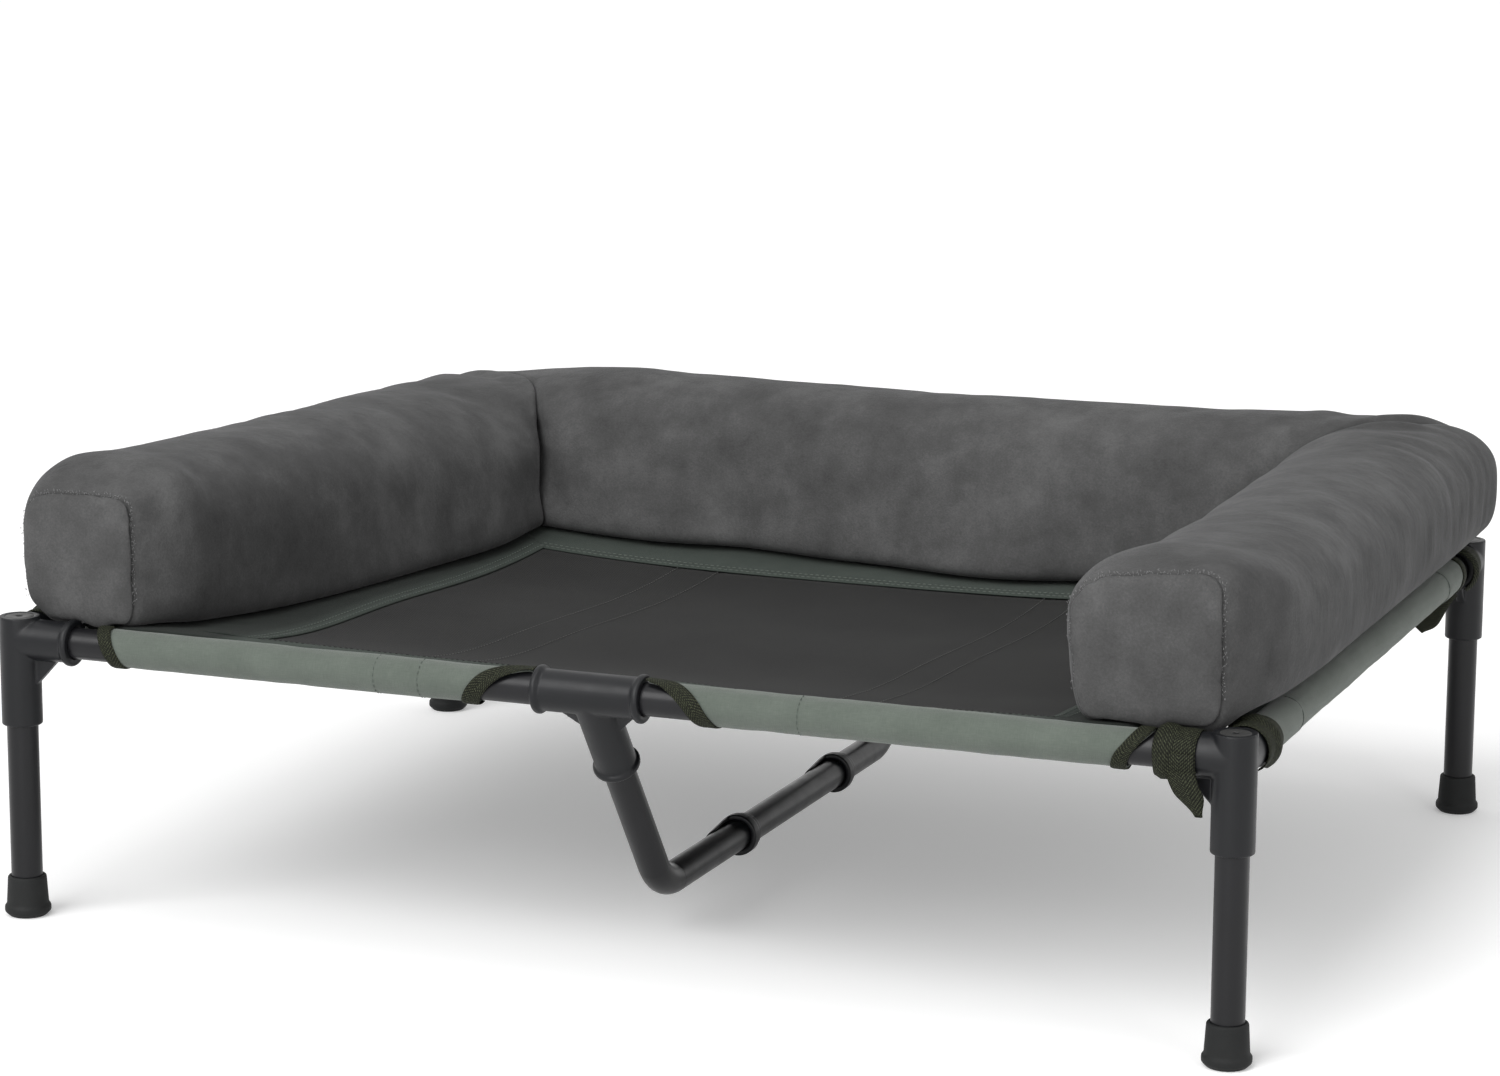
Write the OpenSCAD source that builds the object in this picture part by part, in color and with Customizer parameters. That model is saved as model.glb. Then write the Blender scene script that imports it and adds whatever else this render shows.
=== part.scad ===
// Raised dog cot: a push-together tube frame, a cloth sling with a mesh window,
// and a lift-off stuffed bolster round three sides. Millimetres, +Z up.
// The origin is on the floor, at the middle of the footprint. The open front faces -Y.

/* [Overall] */
// Distance between the leg axes along the length
leg_span_x = 874; // [740:2:1080]
// Distance between the leg axes from front to back
leg_span_y = 676; // [560:2:860]
// Height of the rail axes above the floor
rail_h = 200; // [180:1:300]

/* [Tubes] */
// Outer diameter of every frame tube
tube_d = 22; // [18:0.5:24]
// Wall thickness of the frame tubes
tube_wall = 1.2; // [0.8:0.1:2]
// Radial clearance of a tube in its socket
socket_clear = 0.05; // [0.02:0.01:0.1]

/* [Corner connectors] */
// Wall thickness of the moulded sockets
socket_wall = 3.2; // [2.4:0.1:4]
// Distance from the leg axis to the mouth of a rail socket
corner_reach = 45; // [42:1:52]
// Distance from the leg axis to the end of a rail
corner_stop = 16; // [15:0.5:20]
// Height of the connector's flat top above the rail axis
corner_rise = 16; // [15.5:0.5:20]
// Drop of the leg socket's mouth below the rail axis
corner_drop = 61.5; // [52:0.5:80]
// Depth that a leg goes into its socket
leg_insert = 56; // [40:1:57]
// Height of the bead round a socket mouth, above the socket's wall
bead_h = 2.2; // [1.2:0.1:3]
// Width of the bead round a socket mouth
bead_w = 5; // [3:0.5:7]
// Thickness of the webs below the sockets
web_t = 6; // [3:0.5:9]
// Length of a web along the rail socket, past the leg socket
web_run = 17; // [10:1:22]
// Drop of a web below the rail socket
web_drop = 18; // [10:1:26]
// Diameter of the shallow recess in the connector's top
recess_d = 21; // [14:0.5:24]
// Depth of the shallow recess in the connector's top
recess_depth = 1; // [0.4:0.1:2]

/* [Feet] */
// Height of a foot cap
foot_h = 29; // [22:1:40]
// Thickness of rubber below the leg tube
foot_sole_t = 6; // [4:0.5:9]
// Rubber wall at the top of the foot cap
foot_wall = 2.5; // [2:0.1:4]
// Outward reach of the flared rim past the top of the foot cap
foot_flare = 2.7; // [1:0.1:4]
// Height of the middle of the flared rim
foot_rim_h = 5; // [4:0.5:8]

/* [Tee connectors and brace] */
// Half the length of the tee's barrel
tee_reach = 39; // [34:1:48]
// Distance from the tee's middle to the end of a rail
tee_stop = 6; // [4:0.5:10]
// Length of the tee's branch from the rail axis to its mouth
branch_len = 72; // [62:1:84]
// Distance from the rail axis to the end of the brace tube in the branch
branch_stop = 24; // [22:1:30]
// Height of the brace's low run above the floor
brace_h = 39; // [26:1:60]
// Half the distance between the brace's two bends
brace_half_run = 222; // [170:1:240]
// Radius of the brace's bends on the tube's axis
brace_bend_r = 42; // [34:1:52]
// Place of the front joint of the brace, from the middle
brace_joint_front = -82; // [-110:1:-50]
// Place of the rear joint of the brace, from the middle
brace_joint_rear = 114; // [60:1:122]
// Length of the reduced tube end inside a brace joint
spigot_len = 40; // [20:1:45]

/* [Brace clips] */
// Wall thickness of the clip's tall ring
clip_wall = 4.2; // [3:0.2:6]
// Width of the clip's tall ring
clip_tall_w = 9; // [6:0.5:12]
// Width of the clip's low ring
clip_low_w = 7; // [4:0.5:10]
// Length of the clip's tongue over the neighbouring tube
clip_tongue = 32; // [18:1:40]
// Angle that the tongue covers round the tube
clip_tongue_arc = 44; // [25:1:70]

/* [Sling] */
// Thickness of the canvas and of the mesh
cloth_t = 1.2; // [0.6:0.1:2]
// Slack of a sleeve round its rail
sleeve_slack = 0.5; // [0.2:0.1:1.5]
// Wall of a sleeve, where the canvas is doubled
sleeve_wall = 1.4; // [0.8:0.1:2.4]
// Distance from the leg axis to the end of a sleeve
sleeve_stop = 66; // [60:1:84]
// Half the length of the sleeve's cut-out at the tee, at mid height
cutout_half = 64; // [60:1:80]
// Sag of the sling at its middle
sling_sag = 38; // [8:1:42]
// Left edge of the mesh window, from the middle
mesh_left = 264; // [200:1:290]
// Right edge of the mesh window, from the middle
mesh_right = 310; // [220:1:320]
// Front edge of the mesh window, behind the front rail's axis
mesh_front = 30; // [26:1:60]
// Rear edge of the mesh window, in front of the rear rail's axis
mesh_rear = 182; // [150:1:240]
// Width of the webbing that binds a sleeve's end
binding_w = 12; // [8:0.5:18]
// Thickness of the webbing
webbing_t = 1.2; // [0.8:0.1:2]
// Width of the left support strap below the mesh
strap_left_w = 38; // [24:1:50]
// Place of the left support strap's middle
strap_left_x = -128; // [-200:1:-75]
// Width of the right support strap below the mesh
strap_right_w = 32; // [24:1:50]
// Place of the right support strap's middle
strap_right_x = 170; // [75:1:215]

/* [Corner straps] */
// Width of a corner strap along its socket
corner_strap_w = 21; // [14:0.5:22]
// Length of a corner strap's pointed tail below the socket
corner_tail = 30; // [15:1:40]

/* [Bolster] */
// Full width of the bolster
bolster_w = 138; // [110:1:150]
// Height of the back above the sling, at its middle
bolster_h = 105; // [80:1:130]
// Height of the left arm behind its front end
shoulder_h_left = 111; // [80:1:130]
// Height of the right arm behind its front end
shoulder_h_right = 106; // [80:1:130]
// Height at the left corner seam, which is drawn in deeper
corner_h_left = 80; // [70:1:120]
// Height at the right corner seam
corner_h_right = 104; // [70:1:120]
// Width of the left arm at its front end
end_w_left = 88; // [70:1:106]
// Width of the right arm at its front end
end_w_right = 104; // [70:1:106]
// Height of the arms at their front ends
bolster_end_h = 88; // [66:1:100]
// Inward turn of the left arm's front end
turn_left = -2; // [-8:1:24]
// Inward turn of the right arm's front end
turn_right = 18; // [-8:1:24]
// Length over which a front end turns
turn_len = 170; // [100:1:240]
// Overhang of the bolster outside the side rails' axes
bolster_side_over = 24; // [14:1:30]
// Overhang of the bolster behind the rear rail's axis
bolster_rear_over = 16; // [8:1:18]
// Distance from the front rail's axis back to the bolster's end panels
bolster_front_gap = 2; // [0:1:40]
// Thickness of a bolster end panel at its crown
end_panel_t = 8; // [4:0.5:14]
// Length over which the bolster swells from its front end
swell_len = 64; // [40:1:160]
// Length over which the bolster is drawn in towards its corner seams
draw_len = 150; // [60:1:180]
// Share of its width that the bolster loses at its corner seams
draw_in = 0.02; // [0:0.01:0.1]
// Spread of the bolster's base towards the middle, at its corner seams
corner_spread = 26; // [0:1:34]
// Spread of the bolster's base towards the middle, halfway along the back
back_spread = 30; // [0:1:34]
// Radius of the bolster's rear corners, seen from above
bolster_corner_r = 30; // [20:1:60]

/* [Hook-and-loop strips] */
// Width of a strip
strip_w = 40; // [20:1:50]
// Thickness of a strip
strip_t = 1.2; // [0.8:0.1:2]
// Length of a side strip
side_strip_len = 380; // [200:2:400]
// Length of the rear strip
rear_strip_len = 500; // [300:2:520]

/* [Hidden] */
$fn = 64;
// Gap between soft pieces that lie on each other
lay_gap = 0.3;
// Width of the seam between sewn bolster pieces
seam_gap = 0.3;
// Length by which a cutting tool passes the surface that it cuts
over = 1;

leg_x = leg_span_x / 2;
leg_y = leg_span_y / 2;
tube_r = tube_d / 2;
bore_r = tube_r + socket_clear;
socket_r = bore_r + socket_wall;
bead_r = socket_r + bead_h;
web_end = socket_r + web_run;
corner_top = rail_h + corner_rise;
corner_low = rail_h - corner_drop;
leg_top = corner_low + leg_insert;

foot_top_r = bore_r + foot_wall;
foot_rim_r = foot_top_r + foot_flare;
foot_waist_r = foot_top_r + foot_flare * 0.45;
foot_sole_r = foot_top_r - 0.5;
rim_half = 1.8;

// The brace leaves each tee inwards and down, to the corner of its bend
branch_run = leg_y - brace_half_run;
branch_fall = rail_h - brace_h;
branch_tilt = atan2(branch_run, branch_fall);
branch_full = sqrt(branch_run * branch_run + branch_fall * branch_fall);
bend_turn = 90 - branch_tilt;
bend_setback = brace_bend_r * tan(bend_turn / 2);
// Bending draws the tube in a little, and the straight stretches run this far into the bend
bend_thin = 0.1;
bend_lap = 1.5;
spigot_r = tube_r - tube_wall - socket_clear;

sleeve_in = tube_r + sleeve_slack;
sleeve_out = sleeve_in + sleeve_wall;
binding_in = sleeve_out + lay_gap / 2;
binding_out = binding_in + webbing_t;
// The sling leaves a rail at this slope, and its height there keeps it clear of the sleeve
sag_power = 3;
edge_slope = atan(sag_power * sling_sag / leg_y);
sling_clear = sleeve_out + lay_gap;
deck_z = rail_h + sling_clear / cos(edge_slope) + cloth_t;
// A binding stops below the line where the sling would cut it, on the sling's side of the rail
binding_top = binding_out * cos(edge_slope + acos(min(1, sling_clear / binding_out))) - lay_gap;
notch_half = tee_reach + 6;
notch_depth = bead_r + 1;
mesh_y0 = -leg_y + mesh_front;
mesh_y1 = leg_y - mesh_rear;
strap_stop = 10;

strap_in = socket_r + lay_gap;
strap_out = strap_in + webbing_t;
corner_strap_start = socket_r + lay_gap + 2.5;
tail_half = corner_strap_w / 2;
// A tail is a little thinner than its strap, so that it leaves the strap's round without an edge
tail_inset = 0.1;

bolster_gap = 3 * lay_gap + 2 * strip_t;
bolster_x = leg_x + bolster_side_over;
bolster_y = leg_y + bolster_rear_over;
arm_mid_x = -bolster_x + bolster_w / 2;
back_mid_y = bolster_y - bolster_w / 2;
panel_y = -leg_y + bolster_front_gap;
arm_front = panel_y + end_panel_t + seam_gap;
// A corner seam meets a round corner halfway round it
corner_share = sin(45);
corner_reserve = bolster_corner_r * (1 - corner_share);
arm_stations = 15;
back_stations = 20;
ring_points = 24;

frame_colour = "#34363a";
plastic_colour = "#2b2d31";
rubber_colour = "#333436";
canvas_colour = "#6f7a70";
mesh_colour = "#333333";
webbing_colour = "#2f322b";
plush_colour = "#555555";

// Shapes that repeat

module along_x(x0, x1) {
    translate([x0, 0, 0])
        rotate([0, 90, 0])
            linear_extrude(height = x1 - x0)
                children();
}

module along_y(y0, y1) {
    translate([0, y1, 0])
        rotate([90, 0, 0])
            linear_extrude(height = y1 - y0)
                children();
}

module ring(inner, outer) {
    difference() {
        circle(r = outer);
        circle(r = inner);
    }
}

module tube_section() {
    ring(tube_r - tube_wall, tube_r);
}

// A rounded bead round a barrel, centred on the height z
module bead(z) {
    translate([0, 0, z])
        rotate_extrude()
            polygon([
                [socket_r - over, -bead_w / 2], [socket_r + bead_h / 2, -bead_w / 2],
                [bead_r, -bead_w / 4], [bead_r, bead_w / 4],
                [socket_r + bead_h / 2, bead_w / 2], [socket_r - over, bead_w / 2]
            ]);
}

// Places a piece drawn for the front left corner at any of the four corners
module at_corner(side, end) {
    mirror([side > 0 ? 1 : 0, 0, 0])
        mirror([0, end > 0 ? 1 : 0, 0])
            translate([-leg_x, -leg_y, 0])
                children();
}

// Frame

module web() {
    rotate([90, 0, 0])
        linear_extrude(height = web_t, center = true)
            polygon([
                [0, rail_h], [web_end, rail_h], [web_end, rail_h - socket_r + over],
                [socket_r - over, rail_h - socket_r - web_drop], [0, rail_h - socket_r - web_drop]
            ]);
}

module corner_connector(side, end) {
    color(plastic_colour)
        at_corner(side, end)
            difference() {
                union() {
                    translate([0, 0, corner_low])
                        cylinder(r = socket_r, h = corner_top - corner_low);
                    translate([0, 0, rail_h])
                        along_x(0, corner_reach)
                            circle(r = socket_r);
                    translate([0, 0, rail_h])
                        along_y(0, corner_reach)
                            circle(r = socket_r);
                    translate([0, 0, rail_h])
                        rotate([0, 90, 0])
                            bead(corner_reach - bead_w / 2);
                    translate([0, 0, rail_h])
                        rotate([-90, 0, 0])
                            bead(corner_reach - bead_w / 2);
                    web();
                    rotate([0, 0, 90])
                        web();
                }
                translate([0, 0, corner_low - over])
                    cylinder(r = bore_r, h = leg_insert + over);
                translate([0, 0, rail_h])
                    along_x(corner_stop, corner_reach + over)
                        circle(r = bore_r);
                translate([0, 0, rail_h])
                    along_y(corner_stop, corner_reach + over)
                        circle(r = bore_r);
                translate([0, 0, corner_top - recess_depth])
                    cylinder(d = recess_d, h = recess_depth + over);
            }
}

module leg_tube(side, end) {
    color(frame_colour)
        at_corner(side, end)
            translate([0, 0, foot_sole_t])
                linear_extrude(height = leg_top - foot_sole_t)
                    tube_section();
}

module foot_cap(side, end) {
    color(rubber_colour)
        at_corner(side, end)
            difference() {
                rotate_extrude()
                    polygon([
                        [0, 0], [foot_sole_r, 0],
                        [foot_rim_r, foot_rim_h - rim_half], [foot_rim_r, foot_rim_h + rim_half],
                        [foot_waist_r, foot_rim_h + 2 * rim_half], [foot_top_r, foot_h - 1],
                        [foot_top_r - 1, foot_h], [0, foot_h]
                    ]);
                translate([0, 0, foot_sole_t])
                    cylinder(r = bore_r, h = foot_h);
            }
}

module side_rail(side) {
    color(frame_colour)
        translate([side * leg_x, 0, rail_h])
            along_y(-leg_y + corner_stop, leg_y - corner_stop)
                tube_section();
}

module half_rail(side, end) {
    color(frame_colour)
        mirror([side > 0 ? 1 : 0, 0, 0])
            translate([0, end * leg_y, rail_h])
                along_x(-leg_x + corner_stop, -tee_stop)
                    tube_section();
}

// Turns a piece drawn along -Z below the front rail into the line of the tee's branch
module in_branch() {
    translate([0, -leg_y, rail_h])
        rotate([branch_tilt, 0, 0])
            children();
}

module tee_connector(end) {
    color(plastic_colour)
        mirror([0, end > 0 ? 1 : 0, 0])
            difference() {
                union() {
                    translate([0, -leg_y, rail_h])
                        along_x(-tee_reach, tee_reach)
                            circle(r = socket_r);
                    for (turn = [-90, 90])
                        translate([0, -leg_y, rail_h])
                            rotate([0, turn, 0])
                                bead(tee_reach - bead_w / 2);
                    in_branch()
                        translate([0, 0, -branch_len])
                            cylinder(r = socket_r, h = branch_len);
                    in_branch()
                        mirror([0, 0, 1])
                            bead(branch_len - bead_w / 2);
                    in_branch()
                        rotate([90, 0, 0])
                            linear_extrude(height = web_t, center = true)
                                polygon([
                                    [-web_end, 0], [web_end, 0], [web_end, -socket_r + over],
                                    [socket_r - over, -socket_r - web_drop],
                                    [-socket_r + over, -socket_r - web_drop],
                                    [-web_end, -socket_r + over]
                                ]);
                }
                for (side = [-1, 1])
                    translate([side * (tee_stop + tee_reach), -leg_y, rail_h])
                        along_x(-tee_reach, tee_reach)
                            circle(r = bore_r);
                in_branch()
                    translate([0, 0, -branch_len - over])
                        cylinder(r = bore_r, h = branch_len - branch_stop + over);
            }
}

// The front half of the brace's path: down the branch, round the bend and along the low run
module brace_path(r, start, finish) {
    straight = branch_full - bend_setback + bend_lap;
    in_branch()
        translate([0, 0, -straight])
            cylinder(r = r, h = straight - start);
    translate([0, -brace_half_run + bend_setback, brace_h + brace_bend_r])
        rotate([180, 90, 0])
            rotate_extrude(angle = bend_turn)
                translate([brace_bend_r, 0])
                    circle(r = r - bend_thin);
    translate([0, 0, brace_h])
        along_y(-brace_half_run + bend_setback - bend_lap, finish)
            circle(r = r);
}

module brace_tube_front() {
    color(frame_colour)
        difference() {
            brace_path(tube_r, branch_stop, brace_joint_front);
            brace_path(tube_r - tube_wall, branch_stop - over, brace_joint_front + over);
        }
}

// A reduced tube end that runs forward into the joint at y
module spigot(y) {
    translate([0, 0, brace_h])
        along_y(y - spigot_len, y + tube_wall)
            ring(spigot_r - tube_wall, spigot_r);
    translate([0, 0, brace_h])
        along_y(y, y + tube_wall)
            ring(spigot_r - tube_wall, tube_r);
}

module brace_tube_middle() {
    color(frame_colour) {
        spigot(brace_joint_front);
        translate([0, 0, brace_h])
            along_y(brace_joint_front, brace_joint_rear)
                tube_section();
    }
}

module brace_tube_rear() {
    color(frame_colour) {
        spigot(brace_joint_rear);
        mirror([0, 1, 0])
            difference() {
                brace_path(tube_r, branch_stop, -brace_joint_rear);
                brace_path(tube_r - tube_wall, branch_stop - over, -brace_joint_rear + over);
            }
    }
}

// A snap clip: two rings round the joint, and a sloping tongue over the tube in front
module brace_clip(y) {
    color(plastic_colour)
        translate([0, y, brace_h])
            rotate([-90, 0, 0]) {
                linear_extrude(height = clip_tall_w)
                    ring(bore_r, bore_r + clip_wall);
                linear_extrude(height = clip_tall_w + clip_low_w)
                    ring(bore_r, bore_r + clip_wall * 0.6);
                rotate([0, 0, -135 - clip_tongue_arc / 2])
                    rotate_extrude(angle = clip_tongue_arc)
                        polygon([
                            [bore_r, -clip_tongue], [bore_r + clip_wall * 0.3, -clip_tongue],
                            [bore_r + clip_wall, 0], [bore_r + clip_wall, over],
                            [bore_r + clip_wall * 0.4, over], [bore_r + clip_wall * 0.4, 0]
                        ]);
            }
}

// Sling

function held(v, limit) = max(-limit, min(limit, v));

// Height of the sling's upper face, which hangs from the four rails
function hang(v, limit) = 1 - pow(abs(held(v, limit)) / limit, sag_power);
function deck(x, y) = deck_z - sling_sag * hang(x, leg_x) * hang(y, leg_y);

// A cloth between two offsets from the sling's upper face
module draped(x0, x1, y0, y1, low, high, nx, ny) {
    row = nx + 1;
    layer = row * (ny + 1);
    points = [
        for (offset = [low, high], j = [0:ny], i = [0:nx])
            let (x = x0 + (x1 - x0) * i / nx, y = y0 + (y1 - y0) * j / ny)
                [x, y, deck(x, y) + offset]
    ];
    broad = [
        for (j = [0:ny - 1], i = [0:nx - 1])
            let (a = j * row + i, b = a + 1, c = a + row + 1, d = a + row)
                each [
                    [a + layer, d + layer, c + layer], [a + layer, c + layer, b + layer],
                    [a, c, d], [a, b, c]
                ]
    ];
    ends = [
        for (i = [0:nx - 1])
            let (a = i, b = i + 1, c = ny * row + i, d = ny * row + i + 1)
                each [
                    [a, a + layer, b + layer], [a, b + layer, b],
                    [d, d + layer, c + layer], [d, c + layer, c]
                ]
    ];
    sides = [
        for (j = [0:ny - 1])
            let (a = j * row, b = a + row, c = a + nx, d = c + row)
                each [
                    [b, b + layer, a + layer], [b, a + layer, a],
                    [c, c + layer, d + layer], [c, d + layer, d]
                ]
    ];
    polyhedron(points = points, faces = concat(broad, ends, sides));
}

// The part of the sling inside an outline
module sling_cut(outline) {
    intersection() {
        draped(-leg_x, leg_x, -leg_y, leg_y, -cloth_t, 0, 28, 20);
        translate([0, 0, deck_z - sling_sag - cloth_t - over])
            linear_extrude(height = sling_sag + cloth_t + 2 * over)
                polygon(outline);
    }
}

module mesh_panel() {
    color(mesh_colour)
        sling_cut([
            [-mesh_left, mesh_y0], [mesh_right, mesh_y0], [mesh_right, mesh_y1], [-mesh_left, mesh_y1]
        ]);
}

// A front or rear border: end is -1 or 1, mesh_y the edge of the mesh on that end
module canvas_end(end, mesh_y) {
    rail_y = end * leg_y;
    cut_x = leg_x - sleeve_stop;
    mitre_x = leg_x - sleeve_stop / 2;
    mitre_y = end * (leg_y - sleeve_stop / 2);
    notch_y = end * (leg_y - notch_depth);
    color(canvas_colour)
        sling_cut([
            [-cut_x, rail_y], [-notch_half, rail_y], [-notch_half, notch_y], [notch_half, notch_y],
            [notch_half, rail_y], [cut_x, rail_y], [mitre_x, mitre_y],
            [mesh_right, mesh_y], [-mesh_left, mesh_y], [-mitre_x, mitre_y]
        ]);
}

module canvas_side(side) {
    mesh_x = side < 0 ? -mesh_left : mesh_right;
    mitre_x = side * (leg_x - sleeve_stop / 2);
    mitre_y = leg_y - sleeve_stop / 2;
    cut_y = leg_y - sleeve_stop;
    color(canvas_colour)
        sling_cut([
            [side * leg_x, -cut_y], [side * leg_x, cut_y], [mitre_x, mitre_y],
            [mesh_x, mesh_y1], [mesh_x, mesh_y0], [mitre_x, -mitre_y]
        ]);
}

module side_sleeve(side) {
    color(canvas_colour)
        translate([side * leg_x, 0, rail_h])
            along_y(-leg_y + sleeve_stop, leg_y - sleeve_stop)
                ring(sleeve_in, sleeve_out);
}

// Sleeve ends at the tee are cut at 45 degrees, longest at the top
// This is the space on the outer side of the cut, set back by a distance
module beside_cutout(back) {
    translate([-cutout_half - back, 0, 0])
        rotate([0, 45, 0])
            translate([-leg_span_x, -leg_span_x / 2, -leg_span_x / 2])
                cube(leg_span_x);
}

module half_sleeve(side, end) {
    color(canvas_colour)
        mirror([side > 0 ? 1 : 0, 0, 0])
            translate([0, end * leg_y, rail_h])
                intersection() {
                    along_x(-leg_x + sleeve_stop, 0)
                        ring(sleeve_in, sleeve_out);
                    beside_cutout(0);
                }
}

// Keeps a binding clear of the sling that passes over the top of its sleeve
module below_sling() {
    translate([-leg_span_x, -leg_span_x, -leg_span_x])
        cube([2 * leg_span_x, 2 * leg_span_x, leg_span_x + binding_top]);
}

module binding_end(end) {
    color(webbing_colour)
        for (side = [0, 1])
            mirror([side, 0, 0])
                translate([0, end * leg_y, rail_h])
                    intersection() {
                        below_sling();
                        union() {
                            along_x(-leg_x + sleeve_stop, -leg_x + sleeve_stop + binding_w)
                                ring(binding_in, binding_out);
                            intersection() {
                                difference() {
                                    beside_cutout(0);
                                    beside_cutout(binding_w);
                                }
                                along_x(-leg_x / 2, 0)
                                    ring(binding_in, binding_out);
                            }
                        }
                    }
}

module binding_side(side) {
    color(webbing_colour)
        for (end = [0, 1])
            mirror([0, end, 0])
                translate([side * leg_x, 0, rail_h])
                    intersection() {
                        below_sling();
                        along_y(-leg_y + sleeve_stop, -leg_y + sleeve_stop + binding_w)
                            ring(binding_in, binding_out);
                    }
}

module support_strap(x, w) {
    color(webbing_colour)
        draped(x - w / 2, x + w / 2, -leg_y + strap_stop, leg_y - strap_stop,
            -cloth_t - lay_gap - webbing_t, -cloth_t - lay_gap, 2, 22);
}

// A strap round a rail socket, open for the web below it, with a pointed tail
module socket_strap() {
    translate([corner_strap_start, 0, rail_h])
        difference() {
            union() {
                along_x(0, corner_strap_w)
                    ring(strap_in, strap_out);
                translate([tail_half, -strap_in - tail_inset, 0])
                    rotate([90, 0, 0])
                        linear_extrude(height = webbing_t - 2 * tail_inset)
                            polygon([
                                [-tail_half, 0], [tail_half, 0],
                                [tail_half, -socket_r],
                                [0, -socket_r - corner_tail * 0.3],
                                [-tail_half * 0.6, -socket_r - corner_tail],
                                [-tail_half, -socket_r - corner_tail * 0.75]
                            ]);
            }
            translate([-over, -web_t / 2 - over, -2 * socket_r])
                cube([corner_strap_w + 2 * over, web_t + 2 * over, 2 * socket_r]);
        }
}

// The straps of two opposite corners lie on the front and rear sockets, the others on the side sockets
module corner_strap(side, end) {
    color(webbing_colour)
        at_corner(side, end)
            if (side * end < 0)
                socket_strap();
            else
                mirror([1, -1, 0])
                    socket_strap();
}

// Hook-and-loop strips, one on the sling and one below the bolster

module side_strip(side, layer) {
    low = lay_gap + layer * (strip_t + lay_gap);
    middle = side * -arm_mid_x;
    color(webbing_colour)
        draped(middle - strip_w / 2, middle + strip_w / 2, -side_strip_len / 2, side_strip_len / 2,
            low, low + strip_t, 2, 10);
}

module rear_strip(layer) {
    low = lay_gap + layer * (strip_t + lay_gap);
    color(webbing_colour)
        draped(-rear_strip_len / 2, rear_strip_len / 2, back_mid_y - strip_w / 2, back_mid_y + strip_w / 2,
            low, low + strip_t, 12, 2);
}

// Bolster

function signed_pow(v, e) = sign(v) * pow(abs(v), e);
function rise(d, span) = sin(90 * min(1, max(0, d / span)));

// Round the section: the lower half is squarer, so that it lies flat
function round_of(t) = cos(t) >= 0 ? 0.8 : 0.45;
function across(t) = signed_pow(sin(t), round_of(t));
function upright(t) = signed_pow(cos(t), round_of(t));

// Share of the full size at a distance from a front end, and at a distance from a corner seam
function swell(d, end_size, size) = end_size / size + (1 - end_size / size) * rise(d, swell_len);
function drawn(d) = 1 - draw_in * (1 - rise(d, draw_len));

// A point of the bolster at turn t round a section of half height b, over the sling's height mid_z
function on_bolster(x, y, mid_z, b, t) = let (w = upright(t))
    [x, y, (deck(x, y) * (1 - w) + mid_z * (1 + w)) / 2 + bolster_gap + b * (1 + w)];

// Outer sides of rings of points, closed by a fan at each end
module loft(rings, first, last) {
    n = len(rings[0]);
    count = len(rings);
    points = concat([for (r = rings) each r], [first, last]);
    walls = [
        for (s = [0:count - 2], k = [0:n - 1])
            let (a = s * n + k, b = s * n + (k + 1) % n)
                each [[a, a + n, b + n], [a, b + n, b]]
    ];
    front_fan = [for (k = [0:n - 1]) [count * n, k, (k + 1) % n]];
    rear_fan = [for (k = [0:n - 1]) [count * n + 1, (count - 1) * n + (k + 1) % n, (count - 1) * n + k]];
    polyhedron(points = points, faces = concat(walls, front_fan, rear_fan));
}

function mean_point(ring) = [for (axis = [0:2]) [for (p = ring) p[axis]] * [for (p = ring) 1] / len(ring)];

// Stations along a length, closer together towards both ends
function station(i, count) = (1 - cos(180 * i / count)) / 2;

// Inset of the outer side at a distance from the outer corner, for a corner round in plan
function corner_inset(d) = let (r = bolster_corner_r, u = held(r - d, r * corner_share))
    d >= r ? 0 : r - sqrt(r * r - u * u);

// Offset from the middle of the section, where the inner side spreads towards its base
function offset_at(outer, inner, spread, t) =
    (sin(t) < 0 ? outer : inner + spread * (1 - upright(t)) / 2) * across(t);

// An arm, drawn on the left, runs back from its end panel to the 45 degree seam at the rear corner
function arm_ring(s, end_w, turn, shoulder_h, corner_h) = let (
        length = back_mid_y - arm_front,
        near = s * length,
        mid_x = arm_mid_x + turn * (1 - rise(near, turn_len)),
        mid_z = deck(mid_x, arm_front + near),
        a = bolster_w / 2 * swell(near, end_w, bolster_w) * drawn(length - near),
        h = shoulder_h * swell(near, bolster_end_h, shoulder_h) + (corner_h - shoulder_h) * s,
        inset = corner_inset((1 - s) * (bolster_y - arm_front) + s * corner_reserve)
    ) [
        for (i = [0:ring_points - 1])
            let (
                t = 360 * i / ring_points,
                x = mid_x + offset_at(a - inset, a, corner_spread * s * s, t),
                seam_y = bolster_y - seam_gap - (x + bolster_x)
            ) on_bolster(x, arm_front + s * (seam_y - arm_front), mid_z, h / 2, t)
    ];

module arm(end_w, turn, shoulder_h, corner_h) {
    rings = [
        for (i = [0:arm_stations])
            arm_ring(station(i, arm_stations), end_w, turn, shoulder_h, corner_h)
    ];
    loft(rings, mean_point(rings[0]), mean_point(rings[arm_stations]));
}

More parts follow.
